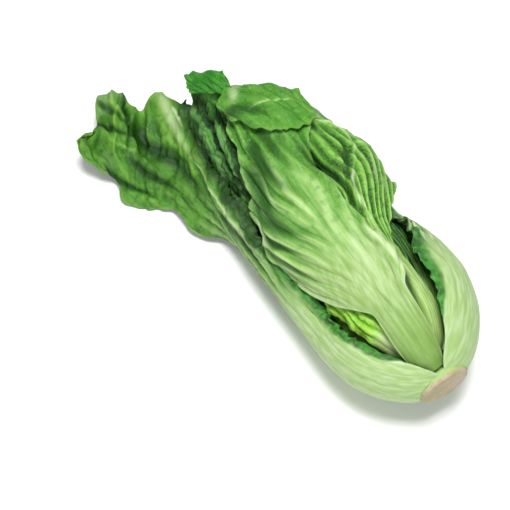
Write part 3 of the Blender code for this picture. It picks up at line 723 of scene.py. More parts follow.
def leaf_material(
    name, stalk, low, high, wing, turns=(0.4, 0.8), gloss=0.40, sheen=0.32, net=0.4, shade=0.85, ridge=0.5,
    foot_shade=0.0, pale_and_highlight_colour=(0.52, 0.64, 0.36),
):
    """Leaf skin. Pale stalk flesh goes over to a green blade, with pale ribs, a net of small veins, dark
    wings and a light rim. The valleys between the ribs are darker green, partly painted shade, and the
    creases are darkened with painted shade; further from the foot, painted shade also darkens the wings.

    `stalk` holds the colours of stalk_colour. `low` and `high` hold the blade's dark, light, rib and valley
    colours next to the stalk and at the tip, and `turns` the places between which they change over. The
    valley colour is partly painted shade and also colours dark mottles. `gloss` is the roughness, `sheen`
    the strength of the shine, `net` that of the small veins and `shade` that of the painted shade in the
    valleys. A rib is pale from a height of `ridge` on. The last two arguments are how strongly painted
    shade darkens the stalk at its foot, and the colour of the streaks drawn on a leaf: pale veins and
    strips, and painted highlights.
    """
    material = flesh(name, gloss, 0.08, sheen)
    on = leaf_patterns(material)
    far = figure(material, "ADD", figure(material, "MULTIPLY", on["clouds"], 0.25), on["place"])
    far = between(material, far, turns[0] + 0.12, turns[1] + 0.12)
    dark, light, rib, valley_shade_and_mottle = [mixed(material, far, near, tip) for near, tip in zip(low, high)]
    fleshy = stalk_colour(material, on, stalk, foot_shade)
    leafy = blade_colour(material, on, dark, light, rib)
    green = figure(material, "ADD", figure(material, "MULTIPLY", on["stripes"], 0.6), on["blade"])
    colour = laid_over(material, fleshy, leafy, green, 0.35, 1.0)

    within = between(material, on["blade"], 0.0, 0.5)
    colour = laid_over(material, colour, rib, on["rib"], ridge, 1.0, 0, 0.9, within)
    within = between(material, on["blade"], 0.0, 0.7, 0.1, 1.0)
    # Painted shade: the valleys between the ribs darkened towards the valley colour.
    colour = laid_over(material, colour, valley_shade_and_mottle, on["rib"], 0.0, 0.55, shade, 0, within)
    within = between(material, on["blade"], 0.1, 0.8, 0.05, 0.6)
    colour = laid_over(material, colour, valley_shade_and_mottle, on["mottles"], 0.5, 0.72, 0, 1, within)
    netted = figure(material, "MULTIPLY", on["veins"], between(material, on["blade"], 0.3, 0.9, 0, net))
    colour = mixed(material, netted, colour, rib)
    whitish = mixed(material, on["blade"], stalk[2], rib)
    colour = laid_over(material, colour, whitish, on["rim"], 0.2, 0.9, 0, 0.6, on["clouds"])
    frilly = wing_colour(material, on, wing)
    colour = laid_over(material, colour, frilly, on["wing"], 0.05, 0.6, 0, 0.92)
    # Pale veins and strips, and painted highlights, drawn in the streak colour.
    colour = laid_over(material, colour, pale_and_highlight_colour, on["pale_and_highlight"], 0.0, 1.0)
    # Painted shade: creases darkened towards near-black green.
    crease_shade_colour = mixed(material, 0.5, valley_shade_and_mottle, (0.008, 0.03, 0.004))
    colour = laid_over(material, colour, crease_shade_colour, on["crease"], 0.0, 0.8, 0, 0.9)

    height = figure(material, "ADD", figure(material, "MULTIPLY", on["streaks"], 0.5), netted)
    height = figure(material, "ADD", height, figure(material, "MULTIPLY", on["mottles"], 0.8))
    shine = between(material, on["clouds"], 0.3, 0.7, gloss - 0.06, gloss + 0.1)
    finish_with(material, colour, height, 0.0006, shine)
    return material


outer_right = Leaf(
    midrib=[
        (6, 18.5), (13, 29), (25, 41), (45, 53), (71, 59), (100, 56), (116, 51), (130, 46), (165, 44),
        (200, 42), (240, 40), (272, 36),
    ],
    azimuth=[(0, -80), (0.1, -76), (0.5, -78), (1, -85)],
    left=[
        (0, 27), (0.04, 36), (0.1, 43), (0.19, 54), (0.3, 58), (0.345, 54), (0.39, 42), (0.5, 30),
        (0.85, 30), (1, 18),
    ],
    right=[(0, 25), (0.1, 44), (0.25, 62), (0.4, 57), (0.5, 50), (0.8, 40), (1, 18)],
    curl_left=[(0, 30), (0.04, 22), (0.12, 14), (0.25, 9.8), (0.5, 11), (1, 13)],
    thick=[(0, 6), (0.1, 8), (0.2, 8.5), (0.45, 5), (0.6, 2), (1, 1.4)],
    stalk=45.0,
    ribs=4.5,
    fan=0.3,
    rib_height=[(0, 0.2), (0.1, 0.5), (0.2, 0.7), (0.33, 1.2), (0.5, 2.2), (1, 2.2)],
    ruffle_left=3.5,
    ruffle_right=1.0,
    wing_left=[
        (0, 0), (0.12, 0), (0.16, 4), (0.2, 9), (0.27, 14), (0.33, 17), (0.42, 20), (0.5, 16), (0.6, 8),
        (1, 4),
    ],
    wing_right=[(0, 0), (0.2, 0), (0.3, 6), (0.5, 8), (1, 4)],
    frill=2.6,
    pale_and_highlight=(
        (0.60, 1.8, [(-52, 128), (-43, 114), (-37, 102), (-30, 84)], (0, 1)),
        (0.90, 2.4, [(-60, 126), (-49, 109), (-41, 94), (-33, 74)], (0, 1)),
        (0.70, 2.0, [(-64, 116), (-55, 101), (-47, 86), (-40, 70)], (0, 1)),
    ),
    seed=11,
)
outer_material = leaf_material(
    "outer_leaf",
    stalk=[(0.41, 0.55, 0.27), (0.30, 0.46, 0.15), (0.56, 0.66, 0.45)],
    low=[(0.06, 0.20, 0.025), (0.11, 0.28, 0.04), (0.30, 0.47, 0.17), (0.025, 0.10, 0.01)],
    high=[(0.028, 0.13, 0.010), (0.075, 0.25, 0.022), (0.16, 0.36, 0.05), (0.008, 0.055, 0.004)],
    wing=(0.015, 0.080, 0.009),
    turns=(0.5, 0.75),
    net=0.25,
)
grow_leaf(
    "outer_right_leaf", outer_right, across=170, along=200,
    material=outer_material, node="leaf_outer_right", slot="outer_leaf",
)

# Outer left leaf. Its pale stalk clasps the left of the head, with green frills along its upper edge. The
# midrib runs on along the head as a narrow band, and carries a loose, crumpled blade that lies on the
# surface. The band and the wide frilled wing on its right are coloured dark green: painted shade.
outer_left = Leaf(
    midrib=[
        (6, 18.5), (13, 29), (25, 41), (45, 52), (71, 57), (110, 59), (160, 62), (227, 64), (281, 60),
        (354, 50),
    ],
    azimuth=[(0, 98), (0.1, 95), (0.3, 104), (0.5, 108), (0.7, 106), (0.85, 110), (1, 122)],
    left=[
        (0, 25), (0.08, 42), (0.2, 54), (0.3, 48), (0.45, 30), (0.6, 30), (0.7, 42), (0.79, 72),
        (0.86, 90), (0.93, 80), (1, 46),
    ],
    right=[
        (0, 27), (0.03, 33), (0.07, 37), (0.125, 38), (0.16, 38), (0.205, 36), (0.25, 34), (0.31, 35),
        (0.4, 36), (0.55, 37), (0.6, 36), (0.65, 32), (0.7, 29), (0.74, 27), (0.82, 28), (0.9, 27),
        (1, 18),
    ],
    curl_left=[(0, 30), (0.03, 22), (0.12, 14), (0.25, 9.5), (0.4, 6), (0.6, -3), (0.75, -9), (1, -9)],
    curl_right=[
        (0, 30), (0.03, 22), (0.12, 14), (0.2, 13), (0.28, 19.5), (0.53, 19.5), (0.6, 15), (0.7, 9), (1, 2),
    ],
    facing=[(0, 0), (0.45, 0), (0.75, -45), (0.9, -73), (1, -108)],
    tip=[
        (-1, 0.98), (-0.3, 0.99), (0.05, 1), (0.27, 0.96), (0.45, 0.99), (0.75, 1.01), (0.9, 1), (1, 0.95),
    ],
    swells=[(9, 0.6, 0.98, 0.3, 0.07), (-7, 0.33, 0.89, 0.12, 0.07)],
    slant=[(0, 0), (0.6, 0), (0.85, 0.32), (0.93, 0.4), (1, 0.9)],
    round_tip=0.06,
    thick=[(0, 6), (0.1, 8), (0.2, 8.5), (0.45, 6), (0.7, 3.5), (1, 1.4)],
    stalk=40.0,
    ribs=4.5,
    fan=0.5,
    fan_from=220.0,
    rib_height=[(0, 0.2), (0.1, 0.5), (0.2, 0.8), (0.35, 1.3), (0.5, 1.6), (0.8, 2.0), (1, 2.0)],
    side_ribs=[(0, 0), (0.55, 0), (0.75, 1.0), (1, 0.7)],
    leave=330.0,
    level=400.0,
    side_gaps=[(0, 14), (100, 14)],
    sideways=[(0, 0), (0.55, 0), (0.72, 0.7), (1, 0.5)],
    crumple=[(0, 0), (0.5, 0.8), (0.75, 5.0), (1, 7.5)],
    crumple_size=17.0,
    stiff=18.0,
    ruffles=4.5,
    ruffle_left=7.0,
    ruffle_right=3.0,
    notch=0.12,
    wing_left=[(0, 0), (0.08, 0), (0.12, 5), (0.2, 9), (0.3, 9), (0.4, 5), (0.5, 0), (1, 0)],
    # The right wing's dark colour along the band is painted shade.
    wing_right=[
        (0, 0), (0.06, 0), (0.1, 4), (0.2, 9), (0.3, 11), (0.4, 16), (0.5, 22), (0.6, 22), (0.7, 18),
        (0.8, 18), (0.9, 19), (1, 16),
    ],
    frill=3.0,
    pucker=2.2,
    pucker_size=8.0,
    on_sheet=True,
    strokes=(
        (2.4, 7.0, [(3, 372), (-1, 340), (-4, 314), (-7, 290), (-11, 262), (-15, 225)], (0.5, 1)),
        (1.4, 2.5, [(-10, 262), (-14.4, 221), (-20, 189), (-21.7, 163), (-19, 142), (-15, 122)], (0.2, 0.8)),
        (
            -4.5, 13.0,
            [(24, 360), (29, 345), (25, 326), (16, 306), (9, 284), (4, 262), (-1, 240), (-6, 215)],
            (0.5, 1),
        ),
        (-2.6, 6.0, [(-1, 240), (-8, 210), (-13, 185), (-14, 160), (-12, 140)], (0.3, 0.8)),
        (-3.2, 6.0, [(66, 372), (52, 358), (38, 346), (25, 332)], (0.6, 1)),
        (-3.2, 7.0, [(46, 330), (38, 306), (27, 284), (18, 262)], (0.5, 1)),
        (-3.2, 5.0, [(70, 334), (60, 312), (46, 290), (36, 272)], (0.5, 1)),
        (-3.2, 4.5, [(26, 380), (30, 366), (34, 350), (42, 336), (48, 320)], (0.5, 1)),
        (-2.6, 4.0, [(50, 384), (44, 372), (36, 360), (30, 352)], (0.5, 1)),
        (1.8, 3.0, [(34, 384), (38, 370), (44, 352), (54, 338), (60, 322)], (0.5, 1)),
        (1.4, 2.4, [(16, 374), (18, 356), (20, 340)], (0.5, 1)),
        (1.2, 2.5, [(40, 376), (33, 360), (27, 345)], (0.5, 1)),
        (1.2, 2.5, [(56, 350), (44, 334), (30, 318)], (0.5, 1)),
    ),
    pale_and_highlight=(
        (0.55, 6.5, [(3, 374), (-1, 346), (-3, 326), (-5, 304), (-8, 284), (-11, 262)], (0.5, 1)),
        (0.50, 1.6, [(-5, 304), (-10, 264), (-15, 222), (-20, 189), (-21.7, 163), (-19, 140)], (0.2, 0.9)),
        (0.75, 2.2, [(-6, 344), (-8, 330), (-9, 316), (-8, 302)], (0.5, 1)),
        (0.25, 13.0, [(52, 372), (42, 380), (30, 378), (24, 366)], (0.5, 1)),
        (0.20, 9.0, [(68, 320), (62, 336), (56, 346)], (0.5, 1)),
    ),
    # From place 0.45 on, the midrib band takes the blade's dark green: painted shade.
    middle=[(0, 0.3), (0.33, 0.5), (0.45, 1.25), (1, 1.25)],
    seed=23,
)
grow_leaf(
    "outer_left_leaf", outer_left, across=170, along=260,
    material=outer_material, node="leaf_outer_left", slot="outer_leaf",
)

# Under leaf. The leaf on the far side, with a plain broad stalk like the others. The head lies on it, and its
# weight presses the leaf's back flat against the surface.
under = Leaf(
    midrib=[
        (12, 16), (20, 27), (45, 43), (75, 50), (110, 53), (160, 54), (220, 53), (250, 49), (285, 38),
    ],
    azimuth=[(0, 192), (1, 192)],
    left=[
        (0, 11), (0.06, 17), (0.15, 23), (0.25, 25), (0.4, 28), (0.48, 38), (0.6, 50), (0.8, 46), (1, 26),
    ],
    right=[(0, 11), (0.06, 17), (0.15, 23), (0.25, 26), (0.4, 38), (0.6, 50), (0.8, 46), (1, 26)],
    curl_left=[(0, 30), (0.1, 18), (0.2, 13), (0.35, 10.8), (1, 12)],
    thick=[(0, 4), (0.08, 8), (0.2, 9), (0.4, 5), (0.6, 2.5), (1, 1.4)],
    stalk=20.0,
    ribs=2.5,
    rib_height=[(0, 0.2), (0.3, 0.8), (1, 1.4)],
    ruffle_left=2.0,
    ruffle_right=2.0,
    seed=31,
)
leaf_green = leaf_material(
    "leaf",
    stalk=[(0.33, 0.46, 0.19), (0.24, 0.385, 0.11), (0.50, 0.59, 0.37)],
    low=[(0.085, 0.28, 0.024), (0.16, 0.38, 0.055), (0.42, 0.59, 0.24), (0.024, 0.15, 0.008)],
    high=[(0.035, 0.19, 0.012), (0.08, 0.28, 0.02), (0.16, 0.38, 0.06), (0.010, 0.08, 0.004)],
    wing=(0.03, 0.13, 0.015),
    turns=(0.40, 0.74),
    # Painted shade at the foot of the stalks.
    foot_shade=0.7,
)
grow_leaf(
    "under_leaf", under, across=100, along=150,
    material=leaf_green, node="leaf_under", slot="leaf",
)

# Inner left leaf. A young leaf in the gap between the front stalk and the outer left one, yellow green and
# soft because the light has only just reached it, with puckers all over its small blade.
inner_left = Leaf(
    midrib=[(25, 12), (34, 26), (50, 38), (70, 43), (90, 45.5), (108, 46)],
    azimuth=[(0, 42), (0.5, 48), (1, 54)],
    left=[(0, 4), (0.2, 7), (0.5, 10), (0.75, 16), (1, 10)],
    right=[(0, 4), (0.2, 7), (0.5, 10), (0.75, 14), (1, 9)],
    curl_left=[(0, 34), (0.3, 18), (1, 12)],
    thick=[(0, 3), (0.4, 4.5), (1, 1.4)],
    stalk=10.0,
    ribs=1.5,
    ruffle_left=2.0,
    ruffle_right=1.0,
    blade_from=[(0, 0), (0.3, 0.1), (0.5, 0.9), (1, 1)],
    middle=[(0, 0.3), (0.4, 0.6), (0.6, 1.2), (1, 1.2)],
    pale_and_highlight=((0.5, 3.0, [(40, 36), (43, 46), (45, 52), (46, 58)], (0, 1)),),
    pucker=2.6,
    pucker_size=4.0,
    seed=41,
)
young_green = leaf_material(
    "young_leaf",
    stalk=[(0.44, 0.57, 0.28), (0.36, 0.52, 0.16), (0.56, 0.66, 0.42)],
    low=[(0.13, 0.43, 0.01), (0.23, 0.56, 0.02), (0.36, 0.60, 0.10), (0.05, 0.22, 0.005)],
    high=[(0.12, 0.42, 0.01), (0.21, 0.55, 0.02), (0.33, 0.58, 0.08), (0.04, 0.20, 0.005)],
    wing=(0.08, 0.28, 0.02),
)
grow_leaf(
    "inner_left_leaf", inner_left, across=70, along=110,
    material=young_green, node="leaf_inner_left", slot="young_leaf",
)

# Inner right leaf. A thin, dark leaf in the gap between the front stalk and the outer right one. The two have
# pressed it into glossy lengthwise pleats with pale edges. Its colour is near black with painted shade.
inner_right = Leaf(
    midrib=[(26, 13), (36, 24), (52, 35), (72, 40), (95, 41.5), (125, 42), (152, 41.5)],
    azimuth=[(0, -36), (0.3, -35), (0.6, -37), (1, -44)],
    left=[(0, 3), (0.2, 5), (0.4, 9), (0.7, 12), (1, 9)],
    right=[(0, 4), (0.2, 7), (0.5, 13), (0.75, 16), (1, 10)],
    curl_left=[(0, 34), (0.3, 18), (1, 13)],
    thick=[(0, 3), (0.3, 3.5), (1, 1.4)],
    stalk=7.0,
    ribs=2.6,
    fan_from=60.0,
    fan=0.1,
    rib_height=[(0, 0.5), (0.2, 2.0), (1, 2.4)],
    pale_and_highlight=(
        (0.45, 1.3, [(-31, 150), (-33, 120), (-34, 95)], (0, 1)),
        (0.35, 1.2, [(-40, 150), (-41, 125), (-40, 100)], (0, 1)),
        (0.40, 1.3, [(-47, 150), (-48, 128), (-46, 108)], (0, 1)),
    ),
    ruffle_left=1.5,
    ruffle_right=1.0,
    blade_from=[(0, 0), (0.25, 0.2), (0.45, 0.9), (1, 1)],
    pucker=0.5,
    seed=47,
)
# Its colours next to the stalk are near black: painted shade. Those at the tip are plain dark green.
dark_green_and_shade = leaf_material(
    "dark_leaf",
    stalk=[(0.17, 0.33, 0.07), (0.11, 0.25, 0.04), (0.30, 0.46, 0.17)],
    low=[(0.004, 0.030, 0.003), (0.011, 0.062, 0.006), (0.10, 0.25, 0.06), (0.001, 0.008, 0.001)],
    high=[(0.022, 0.16, 0.014), (0.050, 0.27, 0.024), (0.12, 0.38, 0.06), (0.010, 0.08, 0.006)],
    wing=(0.02, 0.09, 0.01),
    turns=(0.84, 0.90),
    gloss=0.36,
    sheen=0.16,
    net=0.2,
    shade=0.95,
    ridge=0.82,
    # Green for its streaks: pale veins, partly painted glossy highlights.
    pale_and_highlight_colour=(0.13, 0.42, 0.07),
)
grow_leaf(
    "inner_right_leaf", inner_right, across=70, along=120,
    material=dark_green_and_shade, node="leaf_inner_right", slot="dark_leaf",
)

# Left side leaf. A dark, puckered blade between the front leaf and the outer left one, folded lengthwise by
# their pressure. Its tip was free to open, and rolls back over the end of the head. Up to the tip, its
# colour is near black with painted shade, and the tip that rolls back has the plain dark green.
side_left = Leaf(
    midrib=[
        (20, 11), (34, 26), (60, 34), (100, 38.5), (150, 42.5), (200, 44), (250, 46), (272, 47),
        (286, 49.5), (294, 53.5), (298, 59.5), (296, 65), (290, 68.5), (283, 68.8), (277, 66), (274.5, 61),
    ],
    azimuth=[
        (0, 92), (0.14, 86), (0.29, 82), (0.57, 76), (0.745, 52), (0.81, 37), (0.87, 29), (0.92, 27),
        (1, 27),
    ],
    left=[
        (0, 5), (0.06, 8), (0.12, 12), (0.19, 22), (0.27, 34), (0.38, 38), (0.57, 41), (0.72, 38),
        (0.78, 31), (0.83, 22), (0.87, 16), (0.9, 11.5), (0.95, 16), (1, 20),
    ],
    right=[
        (0, 5), (0.06, 8), (0.19, 12), (0.29, 16), (0.38, 25), (0.57, 36), (0.72, 30), (0.8, 16),
        (0.85, 12), (0.9, 13), (0.96, 12), (1, 10),
    ],
    slant=[(0, 0), (0.67, 0), (0.8, 0.62), (0.9, 0.6), (1, 0.75)],
    curl_left=[(0, 34), (0.1, 22), (0.29, 15), (0.48, 14), (0.72, 14), (0.81, 9), (0.9, 5), (1, 5)],
    curl_right=[(0, 34), (0.1, 22), (0.29, 15), (0.48, 12.4), (0.81, 9), (0.9, 5), (1, 5)],
    thick=[(0, 3), (0.08, 5), (0.2, 6), (0.4, 4), (0.55, 2.2), (1, 1.4)],
    stalk=14.0,
    ribs=8.0,
    rib_height=[(0, 0.3), (0.3, 1.0), (0.5, 2.6), (0.69, 2.8), (0.8, 2.4), (0.87, 0.8), (1, 0.9)],
    round_tip=0.01,
    ruffle_left=1.2,
    ruffle_right=1.0,
    notch=0.03,
    crowd=0.5,
    facing=[(0, 0), (0.81, 0), (0.9, -8), (1, -8)],
    crumple=[(0, 0), (0.3, 1.5), (0.5, 3.8), (0.72, 4.2), (0.80, 2.6), (0.86, 1.2), (1, 1.5)],
    crumple_size=8.8,
    pucker=1.6,
    pucker_size=6.0,
    strokes=(
        (-3.5, 5.0, [(54, 282), (58, 262), (66, 240), (70, 215), (72, 190)], (0.4, 0.84)),
        (-3.0, 4.0, [(40, 286), (42, 270), (44, 252), (48, 230), (54, 205)], (0.4, 0.84)),
        (1.6, 2.2, [(60, 282), (66, 262), (73, 238), (76, 212), (78, 190)], (0.4, 0.84)),
    ),
    # Pale veins, partly painted glossy highlights on the dark folds.
    pale_and_highlight=(
        (0.55, 9.0, [(44, 292), (37, 280), (34, 270), (38, 262)], (0.7, 0.86)),
        (0.50, 1.7, [(56, 288), (62, 268), (68, 246), (73, 222), (76, 200)], (0.4, 0.86)),
        (0.36, 1.3, [(72, 280), (78, 262), (84, 240), (88, 216)], (0.4, 0.86)),
        (0.42, 1.4, [(48, 276), (50, 258), (54, 240), (60, 218), (64, 200)], (0.4, 0.86)),
        (0.34, 1.2, [(62, 276), (68, 256), (75, 236), (80, 212)], (0.4, 0.86)),
    ),
    seed=53,
)
grow_leaf(
    "side_left_leaf", side_left, across=120, along=250,
    material=dark_green_and_shade, node="leaf_side_left", slot="dark_leaf",
)

# Right side leaf. Its swollen stalk shows beside the front one, and its ribbed blade swells over the outer
# right leaf, with a thick pale vein that bends down from the fold at the tip.
side_right = Leaf(
    midrib=[
        (20, 11), (30, 26), (48, 40), (70, 45), (95, 45), (118, 47), (135, 52), (160, 55), (190, 54.5),
        (215, 50), (235, 46.5), (255, 42), (272, 34),
    ],
    azimuth=[(0, -16), (0.15, -15), (0.3, -13), (0.42, -16), (0.65, -32), (0.8, -28), (1, -25)],
    left=[
        (0, 5), (0.06, 8), (0.15, 10), (0.3, 11), (0.4, 14), (0.5, 22), (0.6, 29), (0.85, 27), (1, 18),
    ],
    right=[
        (0, 5), (0.06, 8), (0.15, 9), (0.25, 8), (0.35, 8), (0.43, 17), (0.5, 31), (0.57, 41),
        (0.7, 40), (0.85, 36), (1, 22),
    ],
    curl_left=[(0, 34), (0.1, 22), (0.3, 18), (0.5, 18), (1, 16)],
    curl_right=[(0, 34), (0.1, 22), (0.3, 15), (0.45, 8), (0.6, 8.5), (1, 13)],
    thick=[(0, 3), (0.08, 5), (0.2, 7), (0.3, 6), (0.45, 3), (0.6, 2.2), (1, 1.4)],
    stalk=13.0,
    ribs=7.0,
    crest=2.0,
    fan_from=90.0,
    fan=0.6,
    rib_height=[(0, 0.2), (0.3, 0.6), (0.45, 3.0), (0.64, 3.0), (0.76, 1.2), (1, 0.9)],
    middle=[(0, 0.5), (0.3, 0.7), (0.42, 1.5), (1, 1.5)],
    ruffle_left=1.0,
    ruffle_right=1.5,
    swells=[(5, -0.75, 0.67, 0.45, 0.09)],
    strokes=(
        (
            3.0, 4.0,
            [(-10, 220), (-24, 222), (-38, 218), (-48, 208), (-44, 190), (-28, 169), (-14, 140)],
            (0.2, 1),
        ),
        (1.6, 2.6, [(-17.5, 156), (-13, 134), (-13, 115), (-18, 98), (-19, 84)], (0.2, 1)),
        (1.4, 2.6, [(-42, 216), (-54, 222), (-66, 232)], (0.2, 1)),
        (1.4, 2.6, [(-48, 206), (-60, 206), (-74, 214)], (0.2, 1)),
        (1.2, 2.4, [(-46, 194), (-58, 188), (-72, 192)], (0.2, 1)),
        (
            -4.5, 6.5,
            [(-4, 222), (-4, 200), (-5, 183), (-9, 166), (-10, 152), (-8, 135), (-7, 114), (-7, 93)],
            (0.1, 1),
        ),
        (-3.0, 4.0, [(-8, 96), (-10, 76), (-6, 60), (-6, 43), (-8, 27)], (0, 1)),
        (-2.6, 4.5, [(-30, 212), (-36, 194), (-24, 172), (-13, 156), (-8, 136)], (0.3, 1)),
    ),
    pale_and_highlight=(
        (
            0.75, 2.4,
            [(-10, 220), (-22, 223), (-38, 218), (-48, 208), (-44, 190), (-28, 169), (-15, 148)],
            (0.2, 1),
        ),
        (0.50, 1.6, [(-40, 215), (-54, 222), (-66, 232)], (0.2, 1)),
        (0.50, 1.6, [(-47, 207), (-60, 206), (-74, 214)], (0.2, 1)),
        (0.45, 1.4, [(-46, 195), (-58, 188), (-72, 192)], (0.2, 1)),
        (0.70, 1.8, [(-30, 172), (-17.5, 154), (-13, 134), (-13, 115), (-18, 98)], (0.2, 1)),
        (0.45, 1.2, [(-57, 190), (-50, 170), (-38, 150), (-26, 122)], (0.2, 1)),
        (0.45, 1.2, [(-62, 182), (-54, 160), (-44, 143), (-32, 116)], (0.2, 1)),
    ),
    seed=61,
)
ribbed_green = leaf_material(
    "ribbed_leaf",
    stalk=[(0.34, 0.48, 0.18), (0.24, 0.40, 0.09), (0.50, 0.60, 0.36)],
    low=[(0.030, 0.17, 0.008), (0.07, 0.28, 0.015), (0.28, 0.52, 0.11), (0.005, 0.05, 0.003)],
    high=[(0.024, 0.16, 0.007), (0.055, 0.26, 0.012), (0.23, 0.48, 0.08), (0.004, 0.045, 0.002)],
    wing=(0.02, 0.09, 0.01),
    turns=(0.5, 0.8),
    shade=0.95,
)
grow_leaf(
    "side_right_leaf", side_right, across=150, along=210,
    material=ribbed_green, node="leaf_side_right", slot="leaf",
)

# Front leaf. The narrow stalk on top of the head fans out to the left into broad, wavy ribs with green
# valleys. The blade wraps the head, and its tip folds back over it like a cap.
front = Leaf(
    midrib=[
        (12, 16), (20, 27), (45, 45), (75, 51), (110, 55), (160, 57), (220, 56), (250, 53), (262, 52),
        (268, 55), (269, 60), (263, 64), (250, 65), (232, 64), (217, 62),
    ],
    azimuth=[(0, 17), (0.18, 17), (0.3, 13), (0.5, 14), (0.7, 10), (1, 8)],
    left=[
        (0, 9), (0.06, 14), (0.1, 15), (0.18, 14), (0.21, 22), (0.25, 39), (0.295, 54), (0.34, 63),
        (0.39, 66), (0.465, 60), (0.52, 51), (0.56, 41), (0.6, 35), (0.64, 34), (0.7, 31), (0.765, 24),
        (0.8, 16), (0.83, 13), (0.87, 18), (0.92, 29), (1, 27),
    ],
    right=[
        (0, 9), (0.06, 13), (0.15, 16), (0.2, 17), (0.235, 22), (0.28, 24), (0.33, 23), (0.4, 19),
        (0.5, 16), (0.6, 16), (0.69, 25), (0.8, 36), (0.87, 40), (1, 32),
    ],
    curl_left=[(0, 30), (0.1, 18), (0.2, 13), (0.35, 10.2), (1, 10)],
    curl_right=[(0, 30), (0.1, 18), (0.2, 13), (0.35, 13), (0.6, 11), (1, 9)],
    thick=[(0, 4), (0.08, 8), (0.2, 9), (0.35, 5.5), (0.6, 3.0), (0.75, 1.6), (1, 1.4)],
    slant=[(0, 0), (0.18, 0), (0.3, 0.25), (0.5, 0.5), (0.68, 0.65), (1, 0.6)],
    round_tip=0.05,
    stalk=17.0,
    ribs=4.5,
    fan_from=65.0,
    fan=0.55,
    sway=3.0,
    rib_height=[(0, 0.1), (0.15, 0.4), (0.3, 1.0), (0.5, 1.2), (0.72, 1.0), (0.8, 0.6), (1, 0.6)],
    side_ribs=[(0, 0), (0.2, 0), (0.27, 1.3), (0.36, 2.4), (0.46, 3.4), (0.7, 3.6), (0.8, 1.2), (1, 0.8)],
    middle=[(0, 0.5), (0.3, 0.8), (0.4, 0.75), (0.5, 0.6), (0.62, 0.8), (0.75, 1), (1, 1)],
    sideways=[(0, 0), (0.2, 0), (0.28, 1), (0.8, 1), (1, 0.4)],
    ruffle_left=3.5,
    ruffle_right=2.0,
    tip_ragged=0.015,
    crumple=[(0, 0), (0.4, 0.5), (0.78, 0.8), (0.88, 3.0), (1, 2.4)],
    crumple_size=19.0,
    crowd=0.25,
    strokes=(
        (
            -3.0, 9.0,
            [(42, 220), (45, 203), (49, 189), (53, 173), (47, 153), (37, 137), (30, 123)],
            (0.3, 0.8),
        ),
        (-3.0, 8.0, [(31, 232), (32, 218), (33.5, 204), (32, 188), (26, 171), (20, 156)], (0.3, 0.8)),
        (-2.2, 5.0, [(58, 214), (60, 200), (63, 184), (60, 165), (50, 145), (41, 130)], (0.3, 0.8)),
        (-2.0, 4.5, [(37, 224), (39, 208), (41, 190), (39, 172), (30, 154)], (0.3, 0.8)),
        (-2.6, 6.5, [(22, 238), (20, 225), (19, 208), (16.5, 190), (11.5, 172)], (0.3, 0.8)),
        (-2.0, 5.0, [(10, 226), (11, 208), (9, 194), (6, 179)], (0.3, 0.8)),
        (-1.4, 6.0, [(69, 190), (72, 167), (64, 147), (52, 124), (39, 102)], (0.3, 0.8)),
        (2.2, 4.0, [(24, 136), (27, 158), (29, 176), (29, 192), (29, 209), (33, 228), (36, 254)], (0.3, 0.8)),
        (
            -5.0, 7.0,
            [(-5, 220), (-5, 185), (-9, 167), (-11, 156), (-10, 135), (-7, 114), (-7, 90)],
            (0.2, 0.8),
        ),
        (-2.6, 4.0, [(2, 216), (0, 190), (-4, 168), (-4, 150), (-3, 130)], (0.3, 0.8)),
        (-1.6, 5.0, [(8, 216), (5, 190), (2, 168), (3, 145), (4, 122)], (0.3, 0.8)),
        (-1.6, 3.0, [(17, 20), (17, 44), (20, 70), (24, 96)], (0, 0.5)),
        (1.6, 5.0, [(-1, 122), (-5, 106), (-8, 92), (-8, 78), (-4, 64), (0, 48)], (0.1, 0.6)),
        (-1.8, 3.5, [(3, 128), (0, 108), (-2, 92), (-1, 76), (3, 60), (5, 44)], (0.1, 0.6)),
        (-2.8, 6.0, [(58, 196), (64, 180), (60, 166), (50, 150), (38, 134)], (0.3, 0.6)),
        (-2.8, 5.0, [(70, 170), (70, 160), (62, 147), (52, 132), (42, 116)], (0.3, 0.6)),
        (-2.6, 4.5, [(78, 162), (76, 152), (66, 131), (57, 113), (48, 98)], (0.2, 0.6)),
        (-2.2, 4.0, [(82, 146), (78, 138), (69, 121), (60, 105), (50, 90)], (0.2, 0.6)),
        (1.6, 1.8, [(20, 246), (8, 244), (1.7, 242.3), (-10, 238.5), (-19, 233), (-17, 217)], (0.84, 1)),
        (-2.5, 7.0, [(36, 256), (22, 249), (8, 236), (-10, 228)], (0.84, 1)),
    ),
    # The whitish streaks along the stalk, at places 0.1 to 0.6, are partly painted highlight; the rest are
    # pale veins and strips.
    pale_and_highlight=(
        (0.45, 5.0, [(10, 124), (12, 104), (12, 86), (10, 68), (9, 54)], (0.1, 0.6)),
        (0.45, 3.0, [(2, 110), (0, 92), (2, 74), (4, 60)], (0.1, 0.6)),
        (0.70, 4.0, [(-1, 122), (-5, 106), (-8, 92), (-8, 78), (-4, 64), (0, 48)], (0.1, 0.6)),
        (0.35, 3.0, [(24, 100), (24, 80), (24, 60), (22, 40)], (0.1, 0.6)),
        (0.50, 1.6, [(20, 246), (8, 244), (1.7, 242.3), (-10, 238.5), (-19, 233), (-17, 217)], (0.84, 1)),
        (0.50, 3.5, [(60, 196), (71, 172), (74, 150), (66, 120), (60, 92), (50, 70)], (0.2, 0.7)),
        (
            0.35, 2.5,
            [(38, 222), (40, 205), (43, 190), (44, 174), (38, 152), (30, 136), (24, 120)],
            (0.3, 0.8),
        ),
        (0.35, 2.5, [(52, 214), (57, 196), (62, 176), (57, 154), (45, 134), (36, 118)], (0.3, 0.8)),
        (0.45, 6.0, [(14, 276), (19, 264), (24, 257), (32, 249)], (0.79, 1)),
    ),
    seed=71,
)
grow_leaf(
    "front_leaf", front, across=180, along=270,
    material=leaf_green, node="leaf_front", slot="leaf",
)

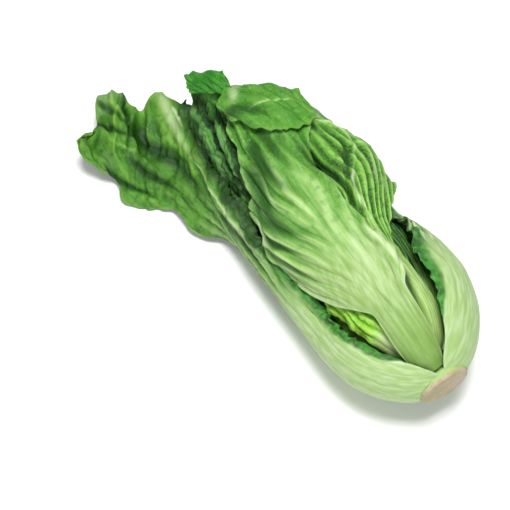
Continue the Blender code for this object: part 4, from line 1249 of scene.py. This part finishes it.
# Floor. A plain, matt, nearly white surface under the head, a hair lower than what lies on it.
bpy.ops.mesh.primitive_plane_add(size=8, location=(0, 0, -0.0002))
floor = bpy.context.object
floor.name = "floor"
floor_material = bpy.data.materials.new("floor")
floor_material.use_nodes = True
floor_shader = floor_material.node_tree.nodes["Principled BSDF"]
floor_shader.inputs["Base Color"].default_value = (0.9, 0.9, 0.9, 1)
floor_shader.inputs["Roughness"].default_value = 0.7
floor.data.materials.append(floor_material)
floor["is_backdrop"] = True

# Camera. It looks down on the head from beyond its left side, with the cut end to the lower right.
AIM = np.array([-0.01646, -0.002, 0.0166])
AZIMUTH, ELEVATION, DISTANCE = math.radians(-30.7), math.radians(60), 0.954
back = np.array(
    [math.sin(AZIMUTH) * math.cos(ELEVATION), -math.cos(AZIMUTH) * math.cos(ELEVATION), math.sin(ELEVATION)]
)


def aimed(thing, place, target):
    """Puts a camera or light in place, looking at the target."""
    thing.location = place
    thing.rotation_euler = Vector(np.array(target) - place).to_track_quat("-Z", "Y").to_euler()
    bpy.context.scene.collection.objects.link(thing)


camera = bpy.data.objects.new("camera", bpy.data.cameras.new("camera"))
camera.data.lens = 85
camera.data.sensor_width = 36
aimed(camera, AIM + back * DISTANCE, AIM)
bpy.context.scene.camera = camera

# Light. A wide soft box above the tips of the head, a weaker one on the near side, and a bright plain room.
for name, place, size, power in (
    ("soft_box", (-0.04, -0.1, 1.35), 0.40, 20.0),
    ("fill", (-0.5, -0.9, 0.8), 0.8, 5.0),
):
    lamp = bpy.data.objects.new(name, bpy.data.lights.new(name, "AREA"))
    lamp.data.size = size
    lamp.data.energy = power
    aimed(lamp, np.array(place), (0, 0, 0.05))
world = bpy.data.worlds.new("room")
bpy.context.scene.world = world
world.use_nodes = True
background = world.node_tree.nodes["Background"]
background.inputs["Color"].default_value = (1, 1, 1, 1)
background.inputs["Strength"].default_value = 0.34
bpy.context.scene.view_settings.view_transform = "Standard"

boxes = {"cad": cad_box, "visual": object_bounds()}
{name: [[float(c) for c in corner] for corner in box] for name, box in boxes.items()}
